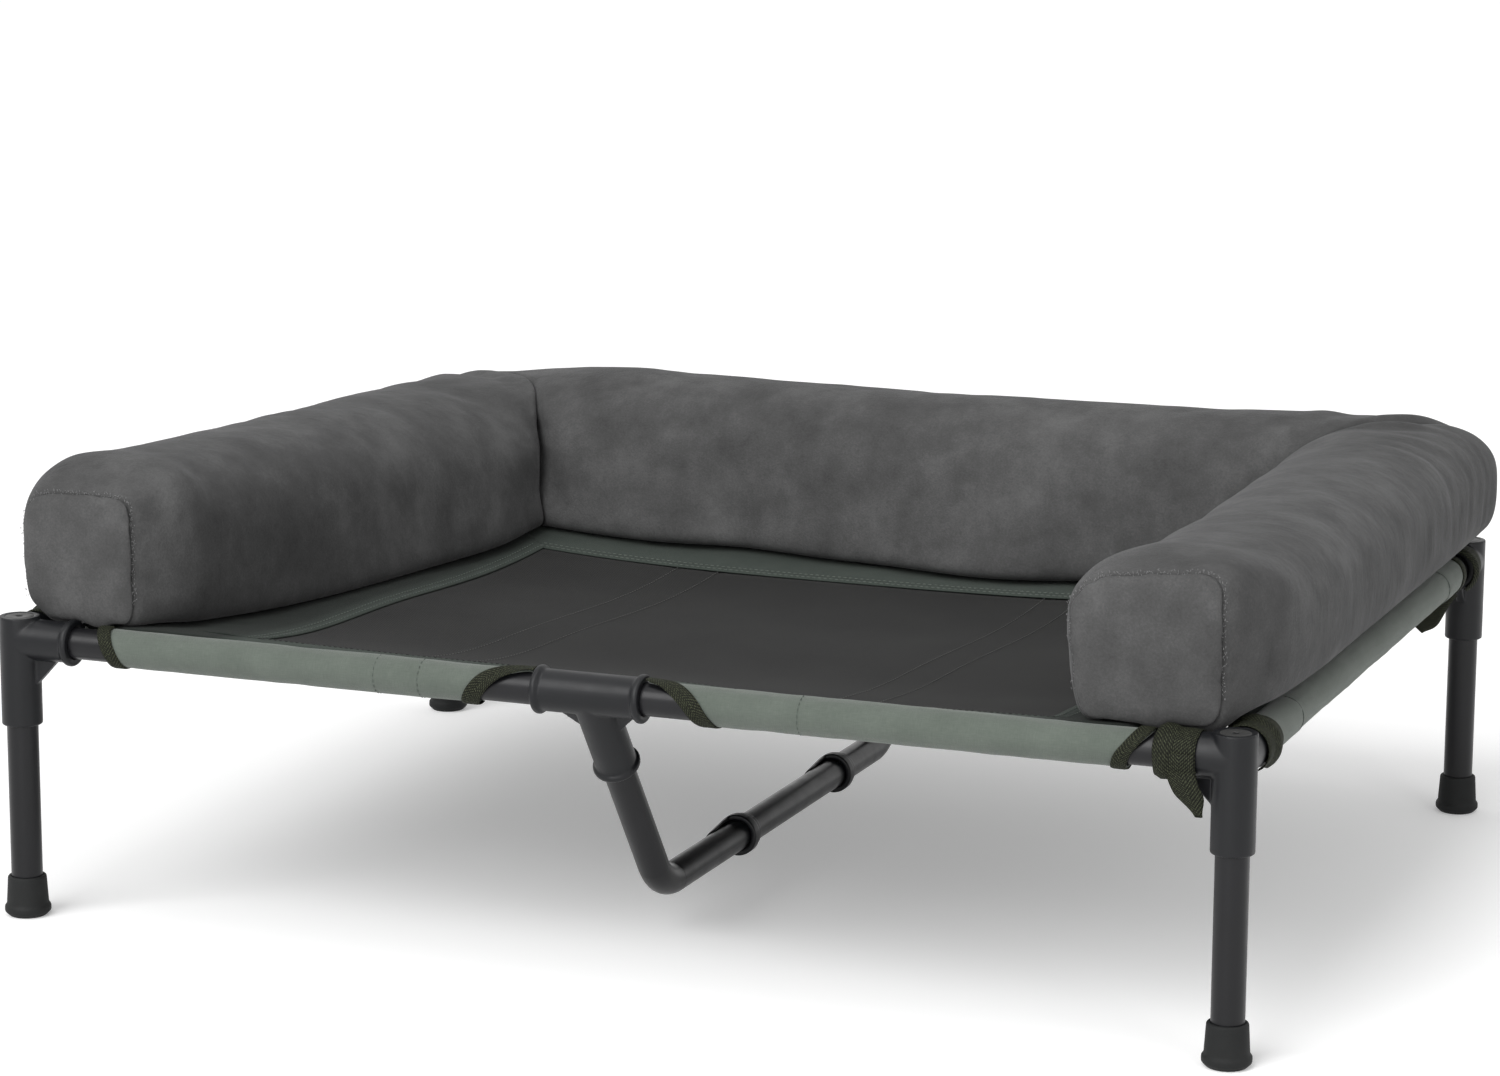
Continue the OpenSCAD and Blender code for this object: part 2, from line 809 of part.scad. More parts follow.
// The back runs between the two corner seams
function back_ring(s) = let (
        side = 2 * s - 1,
        near = -arm_mid_x * (1 - abs(side)),
        corner_h = side < 0 ? corner_h_left : corner_h_right,
        mid_z = deck(arm_mid_x * side, back_mid_y),
        a = bolster_w / 2 * drawn(near),
        h = corner_h + (bolster_h - corner_h) * rise(near, draw_len),
        inset = corner_inset((1 - abs(side)) * bolster_x + abs(side) * corner_reserve),
        spread = corner_spread + (back_spread - corner_spread) * rise(near, draw_len)
    ) [
        for (i = [0:ring_points - 1])
            let (
                t = 360 * i / ring_points,
                y = back_mid_y - offset_at(a - inset, a, spread, t),
                seam_x = bolster_x - (bolster_y - y) - seam_gap
            ) on_bolster(seam_x * side, y, mid_z, h / 2, t)
    ];

module back() {
    rings = [for (i = [0:back_stations]) back_ring(station(i, back_stations))];
    color(plush_colour)
        loft(rings, mean_point(rings[0]), mean_point(rings[back_stations]));
}

// An end panel is a shallow cushion sewn over the front of an arm
function panel_ring(end_w, turn, share, depth) = let (
        mid_x = arm_mid_x + turn,
        mid_z = deck(mid_x, arm_front),
        middle = mid_z + bolster_gap + bolster_end_h / 2
    ) [
        for (i = [0:ring_points - 1])
            let (
                t = 360 * i / ring_points,
                x = mid_x + end_w / 2 * share * across(t),
                edge = on_bolster(x, arm_front, mid_z, bolster_end_h / 2, t)
            ) [x, panel_y + depth, middle + (edge[2] - middle) * share]
    ];

module end_panel(end_w, turn) {
    rings = [
        panel_ring(end_w, turn, 0.45, end_panel_t * 0.08), panel_ring(end_w, turn, 0.75, end_panel_t * 0.25),
        panel_ring(end_w, turn, 0.94, end_panel_t * 0.6), panel_ring(end_w, turn, 1, end_panel_t)
    ];
    front = [arm_mid_x + turn, panel_y, deck(arm_mid_x + turn, arm_front) + bolster_gap + bolster_end_h / 2];
    loft(rings, front, mean_point(rings[3]));
}

module left_arm() {
    color(plush_colour)
        arm(end_w_left, turn_left, shoulder_h_left, corner_h_left);
}

module right_arm() {
    color(plush_colour)
        mirror([1, 0, 0])
            arm(end_w_right, turn_right, shoulder_h_right, corner_h_right);
}

module left_panel() {
    color(plush_colour)
        end_panel(end_w_left, turn_left);
}

module right_panel() {
    color(plush_colour)
        mirror([1, 0, 0])
            end_panel(end_w_right, turn_right);
}

corner_connector(-1, -1);  // corner_connector_front_left
corner_connector(1, -1);  // corner_connector_front_right
corner_connector(-1, 1);  // corner_connector_rear_left
corner_connector(1, 1);  // corner_connector_rear_right
leg_tube(-1, -1);  // leg_tube_front_left
leg_tube(1, -1);  // leg_tube_front_right
leg_tube(-1, 1);  // leg_tube_rear_left
leg_tube(1, 1);  // leg_tube_rear_right
foot_cap(-1, -1);  // foot_cap_front_left
foot_cap(1, -1);  // foot_cap_front_right
foot_cap(-1, 1);  // foot_cap_rear_left
foot_cap(1, 1);  // foot_cap_rear_right
side_rail(-1);  // side_rail_left
side_rail(1);  // side_rail_right
half_rail(-1, -1);  // front_rail_left
half_rail(1, -1);  // front_rail_right
half_rail(-1, 1);  // rear_rail_left
half_rail(1, 1);  // rear_rail_right
tee_connector(-1);  // tee_connector_front
tee_connector(1);  // tee_connector_rear
brace_tube_front();
brace_tube_middle();
brace_tube_rear();
brace_clip(brace_joint_front);  // brace_clip_front
brace_clip(brace_joint_rear);  // brace_clip_rear
mesh_panel();
canvas_end(-1, mesh_y0);  // canvas_front
canvas_end(1, mesh_y1);  // canvas_rear
canvas_side(-1);  // canvas_left
canvas_side(1);  // canvas_right
half_sleeve(-1, -1);  // sleeve_front_left
half_sleeve(1, -1);  // sleeve_front_right
half_sleeve(-1, 1);  // sleeve_rear_left
half_sleeve(1, 1);  // sleeve_rear_right
side_sleeve(-1);  // sleeve_left
side_sleeve(1);  // sleeve_right
binding_end(-1);  // binding_front
binding_end(1);  // binding_rear
binding_side(-1);  // binding_left
binding_side(1);  // binding_right
support_strap(strap_left_x, strap_left_w);  // support_strap_left
support_strap(strap_right_x, strap_right_w);  // support_strap_right
corner_strap(-1, -1);  // corner_strap_front_left
corner_strap(1, -1);  // corner_strap_front_right
corner_strap(-1, 1);  // corner_strap_rear_left
corner_strap(1, 1);  // corner_strap_rear_right
side_strip(-1, 0);  // hook_strip_left
side_strip(1, 0);  // hook_strip_right
rear_strip(0);  // hook_strip_rear
side_strip(-1, 1);  // loop_strip_left
side_strip(1, 1);  // loop_strip_right
rear_strip(1);  // loop_strip_rear
left_arm();  // bolster_left
right_arm();  // bolster_right
back();  // bolster_back
left_panel();  // bolster_end_left
right_panel();  // bolster_end_right
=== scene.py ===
import bpy
import bmesh
import math
import numpy as np
from mathutils import Matrix, Vector


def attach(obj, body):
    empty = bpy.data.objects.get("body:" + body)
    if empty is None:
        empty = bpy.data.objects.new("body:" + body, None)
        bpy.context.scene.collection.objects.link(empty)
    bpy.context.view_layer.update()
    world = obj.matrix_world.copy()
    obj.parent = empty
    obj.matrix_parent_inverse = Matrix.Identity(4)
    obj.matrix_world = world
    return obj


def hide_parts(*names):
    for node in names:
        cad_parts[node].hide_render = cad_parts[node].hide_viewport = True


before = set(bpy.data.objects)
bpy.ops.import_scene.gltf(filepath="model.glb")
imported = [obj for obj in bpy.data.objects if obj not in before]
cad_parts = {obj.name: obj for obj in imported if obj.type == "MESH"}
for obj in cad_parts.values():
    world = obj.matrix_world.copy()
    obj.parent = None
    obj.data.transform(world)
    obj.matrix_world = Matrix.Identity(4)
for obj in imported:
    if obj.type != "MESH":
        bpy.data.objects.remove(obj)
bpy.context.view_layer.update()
scene = bpy.context.scene
print("frame loaded:", len(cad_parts), "nodes")

# sizes shared with the part's source, in metres
cot = {
    "legX": 0.437, "legY": 0.338, "railZ": 0.2, "tubeR": 0.011, "socketR": 0.01425,
    "sleeveR": 0.0129, "deckZ": 0.215131, "sag": 0.038, "sagPower": 3,
    "meshLeft": 0.264, "meshRight": 0.310, "meshFront": -0.308, "meshRear": 0.156,
    "sewnX": 0.4336, "sewnY": 0.3336,  # where the canvas meets the sleeves
}
hands = ((-1, "left"), (1, "right"))
ends = ((-1, "front"), (1, "rear"))
upward = np.array([0, 0, 1.0])


# small tools
def hang(v, limit):
    return 1 - (np.minimum(np.abs(v), limit) / limit) ** cot["sagPower"]


def deck(x, y):  # height of the sling's upper face
    return cot["deckZ"] - cot["sag"] * hang(x, cot["legX"]) * hang(y, cot["legY"])


def tone(r, g, b):  # a screen colour from 0 to 255, as the shader reads it
    return tuple(((v / 255 + 0.055) / 1.055) ** 2.4 for v in (r, g, b)) + (1.0,)


def grey(v):
    return (v, v, v, 1)


def smoothStep(v, low, high):
    t = np.clip((v - low) / (high - low), 0, 1)
    return t * t * (3 - 2 * t)


def plateau(v, a, b, c, d):  # 1 between b and c, fading to 0 at a and d
    return smoothStep(v, a, b) * (1 - smoothStep(v, c, d))


def bell(v, reach, power=2):  # 1 at zero, fading over reach
    return np.exp(-(v / reach) ** power)


def waver(points, size, seed=0):  # smooth noise from -1 to 1, with a bump about every size metres
    q = np.asarray(points, float) / size + seed * 17.137
    low = np.floor(q).astype(np.int64)
    f = q - low
    f = f * f * (3 - 2 * f)
    total = np.zeros(q.shape[:-1])
    for corner in np.ndindex(2, 2, 2):  # the eight corners of each cell
        at = (low + corner) * (73856093, 19349663, 83492791)
        n = at[..., 0] ^ at[..., 1] ^ at[..., 2]
        n = ((n ^ (n >> 13)) * 1274126177) & 0x7FFFFFFF
        value = ((n ^ (n >> 15)) % 65536) / 32768 - 1
        total += value * np.where(corner, f, 1 - f).prod(axis=-1)
    return total


def blur(grid, sigmaRows, sigmaCols):  # soft average over rings of points
    out = np.array(grid, float)
    for axis, sigma, mode in ((0, sigmaRows, "edge"), (1, sigmaCols, "wrap")):
        reach = int(3 * sigma) + 1
        weights = np.exp(-0.5 * (np.arange(-reach, reach + 1) / sigma) ** 2)
        weights /= weights.sum()
        pad = [(0, 0)] * out.ndim
        pad[axis] = (reach, reach)
        big = np.pad(out, pad, mode=mode)
        steps = np.arange(out.shape[axis])
        out = sum(w * np.take(big, steps + i, axis=axis) for i, w in enumerate(weights))
    return out


def gridNormals(grid, rings):  # unit normals of a grid of points, whose rows are rings or open lines
    if rings:
        alongCols = np.roll(grid, -1, axis=1) - np.roll(grid, 1, axis=1)
    else:
        alongCols = np.gradient(grid, axis=1)
    n = np.cross(alongCols, np.gradient(grid, axis=0))
    return n / np.maximum(np.linalg.norm(n, axis=-1, keepdims=True), 1e-9)


def evenly(points, count):  # points at even steps along a line of corners
    points = np.asarray(points, float)
    run = np.concatenate([[0], np.cumsum(np.linalg.norm(np.diff(points, axis=0), axis=1))])
    at = np.linspace(0, run[-1], count)
    return np.stack([np.interp(at, run, points[:, k]) for k in range(points.shape[1])], -1)


def newPiece(name, verts, faces, material, uv=None, recalc=True):
    mesh = bpy.data.meshes.new(name)
    mesh.from_pydata([tuple(v) for v in verts], [], faces)
    if uv is not None:  # one pair for each corner of each face, in metres
        layer = mesh.uv_layers.new(name="cloth")
        layer.data.foreach_set("uv", np.asarray(uv, float).ravel())
    if recalc:
        work = bmesh.new()
        work.from_mesh(mesh)
        bmesh.ops.recalc_face_normals(work, faces=work.faces)
        work.to_mesh(mesh)
        work.free()
    mesh.shade_smooth()
    mesh.materials.append(material)
    return placed(name, mesh)


def placed(name, data):
    obj = bpy.data.objects.new(name, data)
    scene.collection.objects.link(obj)
    return obj


def settle(obj):  # keep what the modifiers made, as a plain mesh
    bpy.context.view_layer.update()
    made = bpy.data.meshes.new_from_object(obj.evaluated_get(bpy.context.evaluated_depsgraph_get()))
    old = obj.data
    obj.modifiers.clear()
    obj.data = made
    made.name = obj.name
    bpy.data.meshes.remove(old)
    return obj


def subdivide(obj):
    mod = obj.modifiers.new("round", "SUBSURF")
    mod.levels = mod.render_levels = 1
    return settle(obj)


def assign(piece, body, slot, *nodes):  # the body it rides, a slot that is not used, and the solids it stands for
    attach(piece, body)
    if nodes:
        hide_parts(*nodes)
    return piece


# camera
view = {
    "focal": 4073.7717, "frameWidth": 1500, "azimuth": 0.380534, "elevation": 0.19366, "roll": 0.004842,
    "place": (1.068597, -2.729399, 0.818659), "sensor": 36, "farthest": 200,
}


def setCamera():
    az, el, roll = view["azimuth"], view["elevation"], view["roll"]
    right = Vector((math.cos(az), math.sin(az), 0))
    back = Vector((math.sin(az) * math.cos(el), -math.cos(az) * math.cos(el), math.sin(el)))
    up = back.cross(right)
    across = right * math.cos(roll) + up * math.sin(roll)
    upright = up * math.cos(roll) - right * math.sin(roll)
    data = bpy.data.cameras.new("camera")
    data.sensor_width = view["sensor"]
    data.lens = view["sensor"] * view["focal"] / view["frameWidth"]
    data.clip_end = view["farthest"]
    camera = placed("camera", data)
    camera.matrix_world = Matrix((across, upright, back)).transposed().to_4x4()
    camera.location = view["place"]
    scene.camera = camera


setCamera()
print("camera set")


# nodes
def feed(tree, socket, value):  # a plain value, or another node's output
    if isinstance(value, bpy.types.NodeSocket):
        tree.links.new(value, socket)
    else:
        socket.default_value = value


def add(tree, kind, values=None, **settings):
    n = tree.nodes.new(kind)
    for key, value in settings.items():
        setattr(n, key, value)
    for key, value in (values or {}).items():
        feed(tree, n.inputs[key], value)
    return n


def calc(tree, operation, *terms):  # terms are numbers or outputs
    return add(tree, "ShaderNodeMath", dict(enumerate(terms)), operation=operation).outputs[0]


def weigh(tree, *parts):  # a sum of outputs, each with its share
    total = None
    for source, share in parts:
        term = calc(tree, "MULTIPLY", source, share)
        total = term if total is None else calc(tree, "ADD", total, term)
    return total


def seenRays(tree):  # 1 where the camera, a reflection or a clear piece looks
    path = add(tree, "ShaderNodeLightPath").outputs
    through = calc(tree, "MAXIMUM", path["Is Glossy Ray"], path["Is Transmission Ray"])
    return calc(tree, "MAXIMUM", path["Is Camera Ray"], through)


# light and floor; each box is its place, its width and its power
studio = {
    "sky": 0.48, "key": 1.75, "keyFrom": (-0.42, -1.0, 1.05), "keySoftness": 40,
    "boxes": [((0.15, -3.0, 1.0), 1.3, 22), ((2.3, -1.5, 1.4), 1.0, 8), ((0.1, -0.6, 3.2), 1.4, 20)],
    "boxTall": 1.4, "boxAim": (0, 0, 0.15), "floorTone": 0.9, "floorLift": 0.26, "floorHalf": 60,
}


def lightSky():
    world = bpy.data.worlds.new("studio")
    scene.world = world
    world.use_nodes = True
    tree = world.node_tree
    tree.nodes.clear()
    seen, lit = (add(tree, "ShaderNodeBackground", {"Color": grey(1), "Strength": strength})
                 for strength in (1, studio["sky"]))
    mix = add(tree, "ShaderNodeMixShader", {0: seenRays(tree), 1: lit.outputs[0], 2: seen.outputs[0]})
    add(tree, "ShaderNodeOutputWorld", {"Surface": mix.outputs[0]})


def lightLamps():
    sun = bpy.data.lights.new("keyLight", "SUN")
    sun.energy = studio["key"]
    sun.angle = math.radians(studio["keySoftness"])
    placed("keyLight", sun).rotation_euler = Vector(studio["keyFrom"]).to_track_quat("Z", "Y").to_euler()
    for i, (place, size, power) in enumerate(studio["boxes"]):
        box = bpy.data.lights.new("softBox%d" % i, "AREA")
        box.shape = "RECTANGLE"
        box.size = size
        box.size_y = size * studio["boxTall"]
        box.energy = power
        lamp = placed("softBox%d" % i, box)
        lamp.location = place
        lamp.rotation_euler = (Vector(place) - Vector(studio["boxAim"])).to_track_quat("Z", "Y").to_euler()


def layFloor():
    mat, tree, shader = startFinish("paleFloor")
    coat(tree, shader, {"Base Color": grey(studio["floorTone"]), "Roughness": 0.9, "Specular IOR Level": 0.1})
    lift = calc(tree, "MULTIPLY", seenRays(tree), studio["floorLift"])
    glow = add(tree, "ShaderNodeEmission", {"Color": grey(1), "Strength": lift})
    both = add(tree, "ShaderNodeAddShader", {0: shader.outputs[0], 1: glow.outputs[0]})
    feed(tree, tree.nodes["Material Output"].inputs["Surface"], both.outputs[0])
    h = studio["floorHalf"]
    square = [(-h, -h, 0), (h, -h, 0), (h, h, 0), (-h, h, 0)]
    newPiece("floor", square, [(0, 1, 2, 3)], mat, recalc=False)


# finishes
def startFinish(name):
    mat = bpy.data.materials.new(name)
    mat.use_nodes = True
    return mat, mat.node_tree, mat.node_tree.nodes["Principled BSDF"]


def coat(tree, shader, values):  # the shader's own sockets
    for key, value in values.items():
        feed(tree, shader.inputs[key], value)


def ramp(tree, source, *stops):  # stops are (place, colour)
    n = add(tree, "ShaderNodeValToRGB", {0: source})
    line = n.color_ramp
    line.elements[0].position, line.elements[0].color = stops[0]
    line.elements[1].position, line.elements[1].color = stops[-1]
    for place, colour in stops[1:-1]:
        line.elements.new(place).color = colour
    return n.outputs[0]


def mixColour(tree, factor, a, b, blend="MIX"):
    return add(tree, "ShaderNodeMix", {0: factor, 6: a, 7: b}, data_type="RGBA", blend_type=blend).outputs[2]


def noiseOf(tree, coords, scale, detail, rough=0.55, stretch=None):
    if stretch is not None:
        coords = add(tree, "ShaderNodeMapping", {"Vector": coords, "Scale": stretch}).outputs[0]
    values = {"Vector": coords, "Scale": scale, "Detail": detail, "Roughness": rough}
    return add(tree, "ShaderNodeTexNoise", values).outputs["Fac"]


def bumpOf(tree, height, strength, distance, under=None):
    n = add(tree, "ShaderNodeBump", {"Strength": strength, "Distance": distance, "Height": height})
    if under is not None:
        feed(tree, n.inputs["Normal"], under)
    return n.outputs[0]


def wave(tree, source, pitch):
    return calc(tree, "SINE", calc(tree, "MULTIPLY", source, 2 * math.pi / pitch))


def clothCoords(tree):
    return add(tree, "ShaderNodeUVMap", uv_map="cloth").outputs[0]


def objectCoords(tree):
    return add(tree, "ShaderNodeTexCoord").outputs["Object"]


def splitAxes(tree, coords):
    return add(tree, "ShaderNodeSeparateXYZ", {0: coords}).outputs


lightSky()
lightLamps()
layFloor()
scene.view_settings.view_transform = "Standard"
print("studio lit")


def hardFinish(name, dark, light, rough, grainScale, grainStrength, specular):
    mat, tree, shader = startFinish(name)
    at = objectCoords(tree)
    fine = noiseOf(tree, at, grainScale, 2)
    both = weigh(tree, (noiseOf(tree, at, 18, 4), 0.6), (fine, 0.4))
    scuff = noiseOf(tree, at, 70, 5, 0.65)
    coat(tree, shader, {
        "Base Color": ramp(tree, both, (0.3, dark), (0.7, light)),
        "Roughness": ramp(tree, scuff, (0.3, grey(rough - 0.05)), (0.75, grey(rough + 0.07))),
        "Specular IOR Level": specular, "Normal": bumpOf(tree, fine, grainStrength, 0.0002)})
    return mat


# painted shade: the border's colour is darkened where the bolster shades it; each edge has its start and its
# rate
shaded = {"tone": 0.36, "left": (0.264, 36), "right": (0.295, 34), "rear": (0.17, 10)}


def canvasFinish(name, dark, middle, light, sheen, paintedShade=None):
    thread = 0.0007
    mat, tree, shader = startFinish(name)
    at = clothCoords(tree)
    x, y, _ = splitAxes(tree, at)
    weave = calc(tree, "MULTIPLY", wave(tree, x, thread), wave(tree, y, thread))
    slubs = [noiseOf(tree, at, 1, 3, 0.6, stretch) for stretch in ((150, 1500, 1), (1500, 150, 1))]
    yarn = weigh(tree, *((slub, 0.5) for slub in slubs))
    shade = weigh(tree, (yarn, 0.62), (noiseOf(tree, at, 26, 4), 0.38))
    colour = ramp(tree, shade, (0.3, dark), (0.5, middle), (0.7, light))
    colour = mixColour(tree, calc(tree, "MULTIPLY_ADD", weave, 0.06, 0.5), colour, dark)
    # painted shade towards the bolster, multiplied into the border's colour
    if paintedShade:
        reach = None
        for edge, along in (("left", calc(tree, "MULTIPLY", x, -1)), ("right", x), ("rear", y)):
            start, rate = paintedShade[edge]
            share = calc(tree, "MULTIPLY", calc(tree, "SUBTRACT", along, start), rate)
            reach = share if reach is None else calc(tree, "MAXIMUM", reach, share)
        paintedShadeTone = ramp(tree, reach, (0.05, grey(1)), (0.85, grey(paintedShade["tone"])))
        colour = mixColour(tree, 1.0, colour, paintedShadeTone, "MULTIPLY")
    coat(tree, shader, {
        "Base Color": colour, "Roughness": 0.85, "Sheen Weight": sheen, "Sheen Roughness": 0.5,
        "Specular IOR Level": 0.12,
        "Normal": bumpOf(tree, weigh(tree, (weave, 0.5), (yarn, 1)), 0.35, 0.0003)})
    return mat


def meshFinish():
    pitch = 0.0019
    mat, tree, shader = startFinish("airMesh")
    at = clothCoords(tree)
    turned = add(tree, "ShaderNodeMapping", {"Vector": at, "Rotation": (0, 0, math.radians(45))}).outputs[0]
    x, y, _ = splitAxes(tree, turned)
    hole = calc(tree, "MULTIPLY", *(calc(tree, "ABSOLUTE", wave(tree, v, 2 * pitch)) for v in (x, y)))
    fuzz = weigh(tree, (noiseOf(tree, at, 900, 3), 0.6), (noiseOf(tree, at, 12, 4), 0.4))
    yarn = ramp(tree, fuzz, (0.3, tone(31, 31, 31)), (0.7, tone(48, 48, 47)))
    # painted shade: the holes are near-black, for the shade seen through the mesh
    through = ramp(tree, hole, (0.45, grey(0)), (0.85, grey(1)))
    coat(tree, shader, {
        "Base Color": mixColour(tree, through, yarn, tone(13, 13, 13)), "Roughness": 0.9,
        "Specular IOR Level": 0.08, "Sheen Weight": 0.06, "Sheen Roughness": 0.4,
        "Normal": bumpOf(tree, calc(tree, "SUBTRACT", 1, hole), 0.4, 0.0004)})
    return mat


def webbingFinish():
    size = {"twill": 0.0022, "rib": 0.0012}
    mat, tree, shader = startFinish("webbingTape")
    at = clothCoords(tree)
    along, across, _ = splitAxes(tree, at)
    slant = calc(tree, "ADD", along, calc(tree, "ABSOLUTE", across))
    weave = weigh(tree, (wave(tree, slant, size["twill"]), 0.6), (wave(tree, across, size["rib"]), 0.4))
    shade = weigh(tree, (weave, 0.26), (noiseOf(tree, at, 700, 3), 0.8))
    coat(tree, shader, {
        "Base Color": ramp(tree, shade, (0.14, tone(5, 6, 3)), (0.42, tone(22, 24, 15)),
                           (0.76, tone(72, 76, 58))),
        "Roughness": 0.75, "Specular IOR Level": 0.16, "Normal": bumpOf(tree, weave, 0.5, 0.0003)})
    return mat


def plushFinish():
    mat, tree, shader = startFinish("plushPile")
    at = objectCoords(tree)
    nap = noiseOf(tree, at, 11, 5, 0.62)
    crush = noiseOf(tree, at, 34, 4, 0.6)
    brushed = noiseOf(tree, at, 1, 4, 0.6, (70, 70, 32))
    pile = noiseOf(tree, at, 620, 3, 0.75)
    shade = weigh(tree, (nap, 0.38), (crush, 0.28), (brushed, 0.1), (pile, 0.24))
    soft = bumpOf(tree, calc(tree, "ADD", crush, brushed), 0.3, 0.003)
    coat(tree, shader, {
        "Base Color": ramp(tree, shade, (0.36, tone(61, 61, 61)), (0.5, tone(76, 76, 76)),
                           (0.64, tone(94, 94, 94))),
        "Roughness": 0.95, "Specular IOR Level": 0.12, "Sheen Weight": 0.28, "Sheen Roughness": 0.32,
        "Sheen Tint": tone(170, 170, 172), "Normal": bumpOf(tree, pile, 0.45, 0.0008, soft)})
    return mat


def threadFinish(name, dark, light):
    mat, tree, shader = startFinish(name)
    ply = noiseOf(tree, objectCoords(tree), 1800, 2)
    coat(tree, shader, {"Base Color": ramp(tree, ply, (0.3, dark), (0.7, light)), "Roughness": 0.8})
    return mat


def tapeFinish(name, dark, light, scale):  # hook or loop tape
    mat, tree, shader = startFinish(name)
    values = {"Scale": scale, "Vector": clothCoords(tree)}
    cell = add(tree, "ShaderNodeTexVoronoi", values).outputs["Distance"]
    coat(tree, shader, {"Base Color": ramp(tree, cell, (0.1, light), (0.7, dark)), "Roughness": 0.9,
                        "Normal": bumpOf(tree, cell, 0.6, 0.0006)})
    return mat


powderCoat = hardFinish("powderCoat", tone(14, 14, 16), tone(20, 20, 23), 0.33, 1300, 0.12, 0.3)
mouldedPlastic = hardFinish("mouldedPlastic", tone(14, 15, 17), tone(20, 21, 24), 0.4, 2200, 0.16, 0.28)
# painted reflection: the caps are a lighter grey than the connectors, standing for the bright surroundings
# reflected on their upward faces
capPaintedReflection = hardFinish("capPaintedReflection", tone(50, 50, 50), tone(62, 62, 61), 0.45, 2200, 0.1, 0.35)
footRubber = hardFinish("footRubber", tone(22, 23, 23), tone(32, 33, 33), 0.7, 1700, 0.22, 0.25)
sleeveCanvas = canvasFinish("sleeveCanvas", tone(79, 86, 79), tone(100, 107, 100), tone(121, 128, 120), 0.26)
# painted shade: the borders use a darker copy of the sleeve canvas, for the shade they lie in
borderCanvas = canvasFinish("borderCanvas", tone(52, 58, 54), tone(66, 73, 68), tone(82, 89, 83), 0.03,
                            shaded)
airMesh = meshFinish()
webbingTape = webbingFinish()
plushPile = plushFinish()
paleThread = threadFinish("paleThread", tone(84, 91, 85), tone(108, 115, 108))
meshThread = threadFinish("meshThread", tone(76, 76, 75), tone(98, 98, 96))
darkThread = threadFinish("darkThread", tone(26, 27, 26), tone(44, 45, 43))
sleeveThread = threadFinish("sleeveThread", tone(62, 69, 64), tone(82, 89, 83))
lintFibre = threadFinish("lintFibre", tone(100, 100, 101), tone(132, 132, 132))
hookTape = tapeFinish("hookTape", tone(22, 22, 22), tone(46, 46, 46), 700)
loopTape = tapeFinish("loopTape", tone(36, 36, 37), tone(66, 66, 67), 420)
print("finishes mixed")


# frame pieces: tubes keep their solids, moulded pieces get rounded edges
moulding = {"voxel": 0.0008, "rounding": 6, "keep": 0.22}
rubber = {"voxel": 0.0006, "rounding": 4, "keep": 0.3}


def rounded(node, material, body, slot, voxel, rounding, keep):
    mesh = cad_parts[node].data.copy()
    work = bmesh.new()
    work.from_mesh(mesh)
    bmesh.ops.remove_doubles(work, verts=work.verts, dist=1e-6)
    work.to_mesh(mesh)
    work.free()
    obj = placed(node + "_rounded", mesh)
    for label, kind, values in (("even", "REMESH", {"mode": "VOXEL", "voxel_size": voxel}),
                                ("round", "SMOOTH", {"factor": 0.5, "iterations": rounding}),
                                ("thin", "DECIMATE", {"ratio": keep})):
        mod = obj.modifiers.new(label, kind)
        for key, value in values.items():
            setattr(mod, key, value)
    settle(obj)
    obj.data.shade_smooth()
    obj.data.materials.clear()
    obj.data.materials.append(material)
    assign(obj, body, slot, node)


capDisc = {
    "outer": 0.0101, "hole": 0.0023, "low": 0.2149, "high": 0.2157,
    "sides": 40, "bevel": 0.0002, "edge": 0.0003,
}


def topCap(name, side, end):  # a disc with a small hole, set in the connector's top
    hole, outer, bevel, edge = (capDisc[k] for k in ("hole", "outer", "bevel", "edge"))
    low, high = capDisc["low"], capDisc["high"]
    rim = [(hole, low), (outer, low), (outer, high - bevel),
           (outer - edge, high), (hole + bevel, high), (hole, high - bevel)]
    turn = np.linspace(0, 2 * math.pi, capDisc["sides"], endpoint=False)
    x, y = side * cot["legX"], end * cot["legY"]
    verts = [(x + r * math.cos(t), y + r * math.sin(t), z) for t in turn for r, z in rim]
    n, k = capDisc["sides"], len(rim)
    faces = [(i * k + j, i * k + (j + 1) % k, (i + 1) % n * k + (j + 1) % k, (i + 1) % n * k + j)
             for i in range(n) for j in range(k)]
    assign(newPiece("topCap_" + name, verts, faces, capPaintedReflection), "frame", "connector_plastic")


corners = [(word + "_" + hand, side, end) for end, word in ends for side, hand in hands]
for name, side, end in corners:
    rounded("corner_connector_" + name, mouldedPlastic, "frame", "connector_plastic", **moulding)
    rounded("foot_cap_" + name, footRubber, "leg_" + name, "foot_rubber", **rubber)
for corner in corners:
    topCap(*corner)
for name in ("tee_connector_front", "tee_connector_rear", "brace_clip_front", "brace_clip_rear"):
    rounded(name, mouldedPlastic, "frame", "connector_plastic", **moulding)
tubes = [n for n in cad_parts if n.startswith("leg_tube") or "rail" in n or n.startswith("brace_tube")]
for name in tubes:
    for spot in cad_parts[name].material_slots:
        spot.material = powderCoat
print("frame finished:", len(tubes), "tubes")


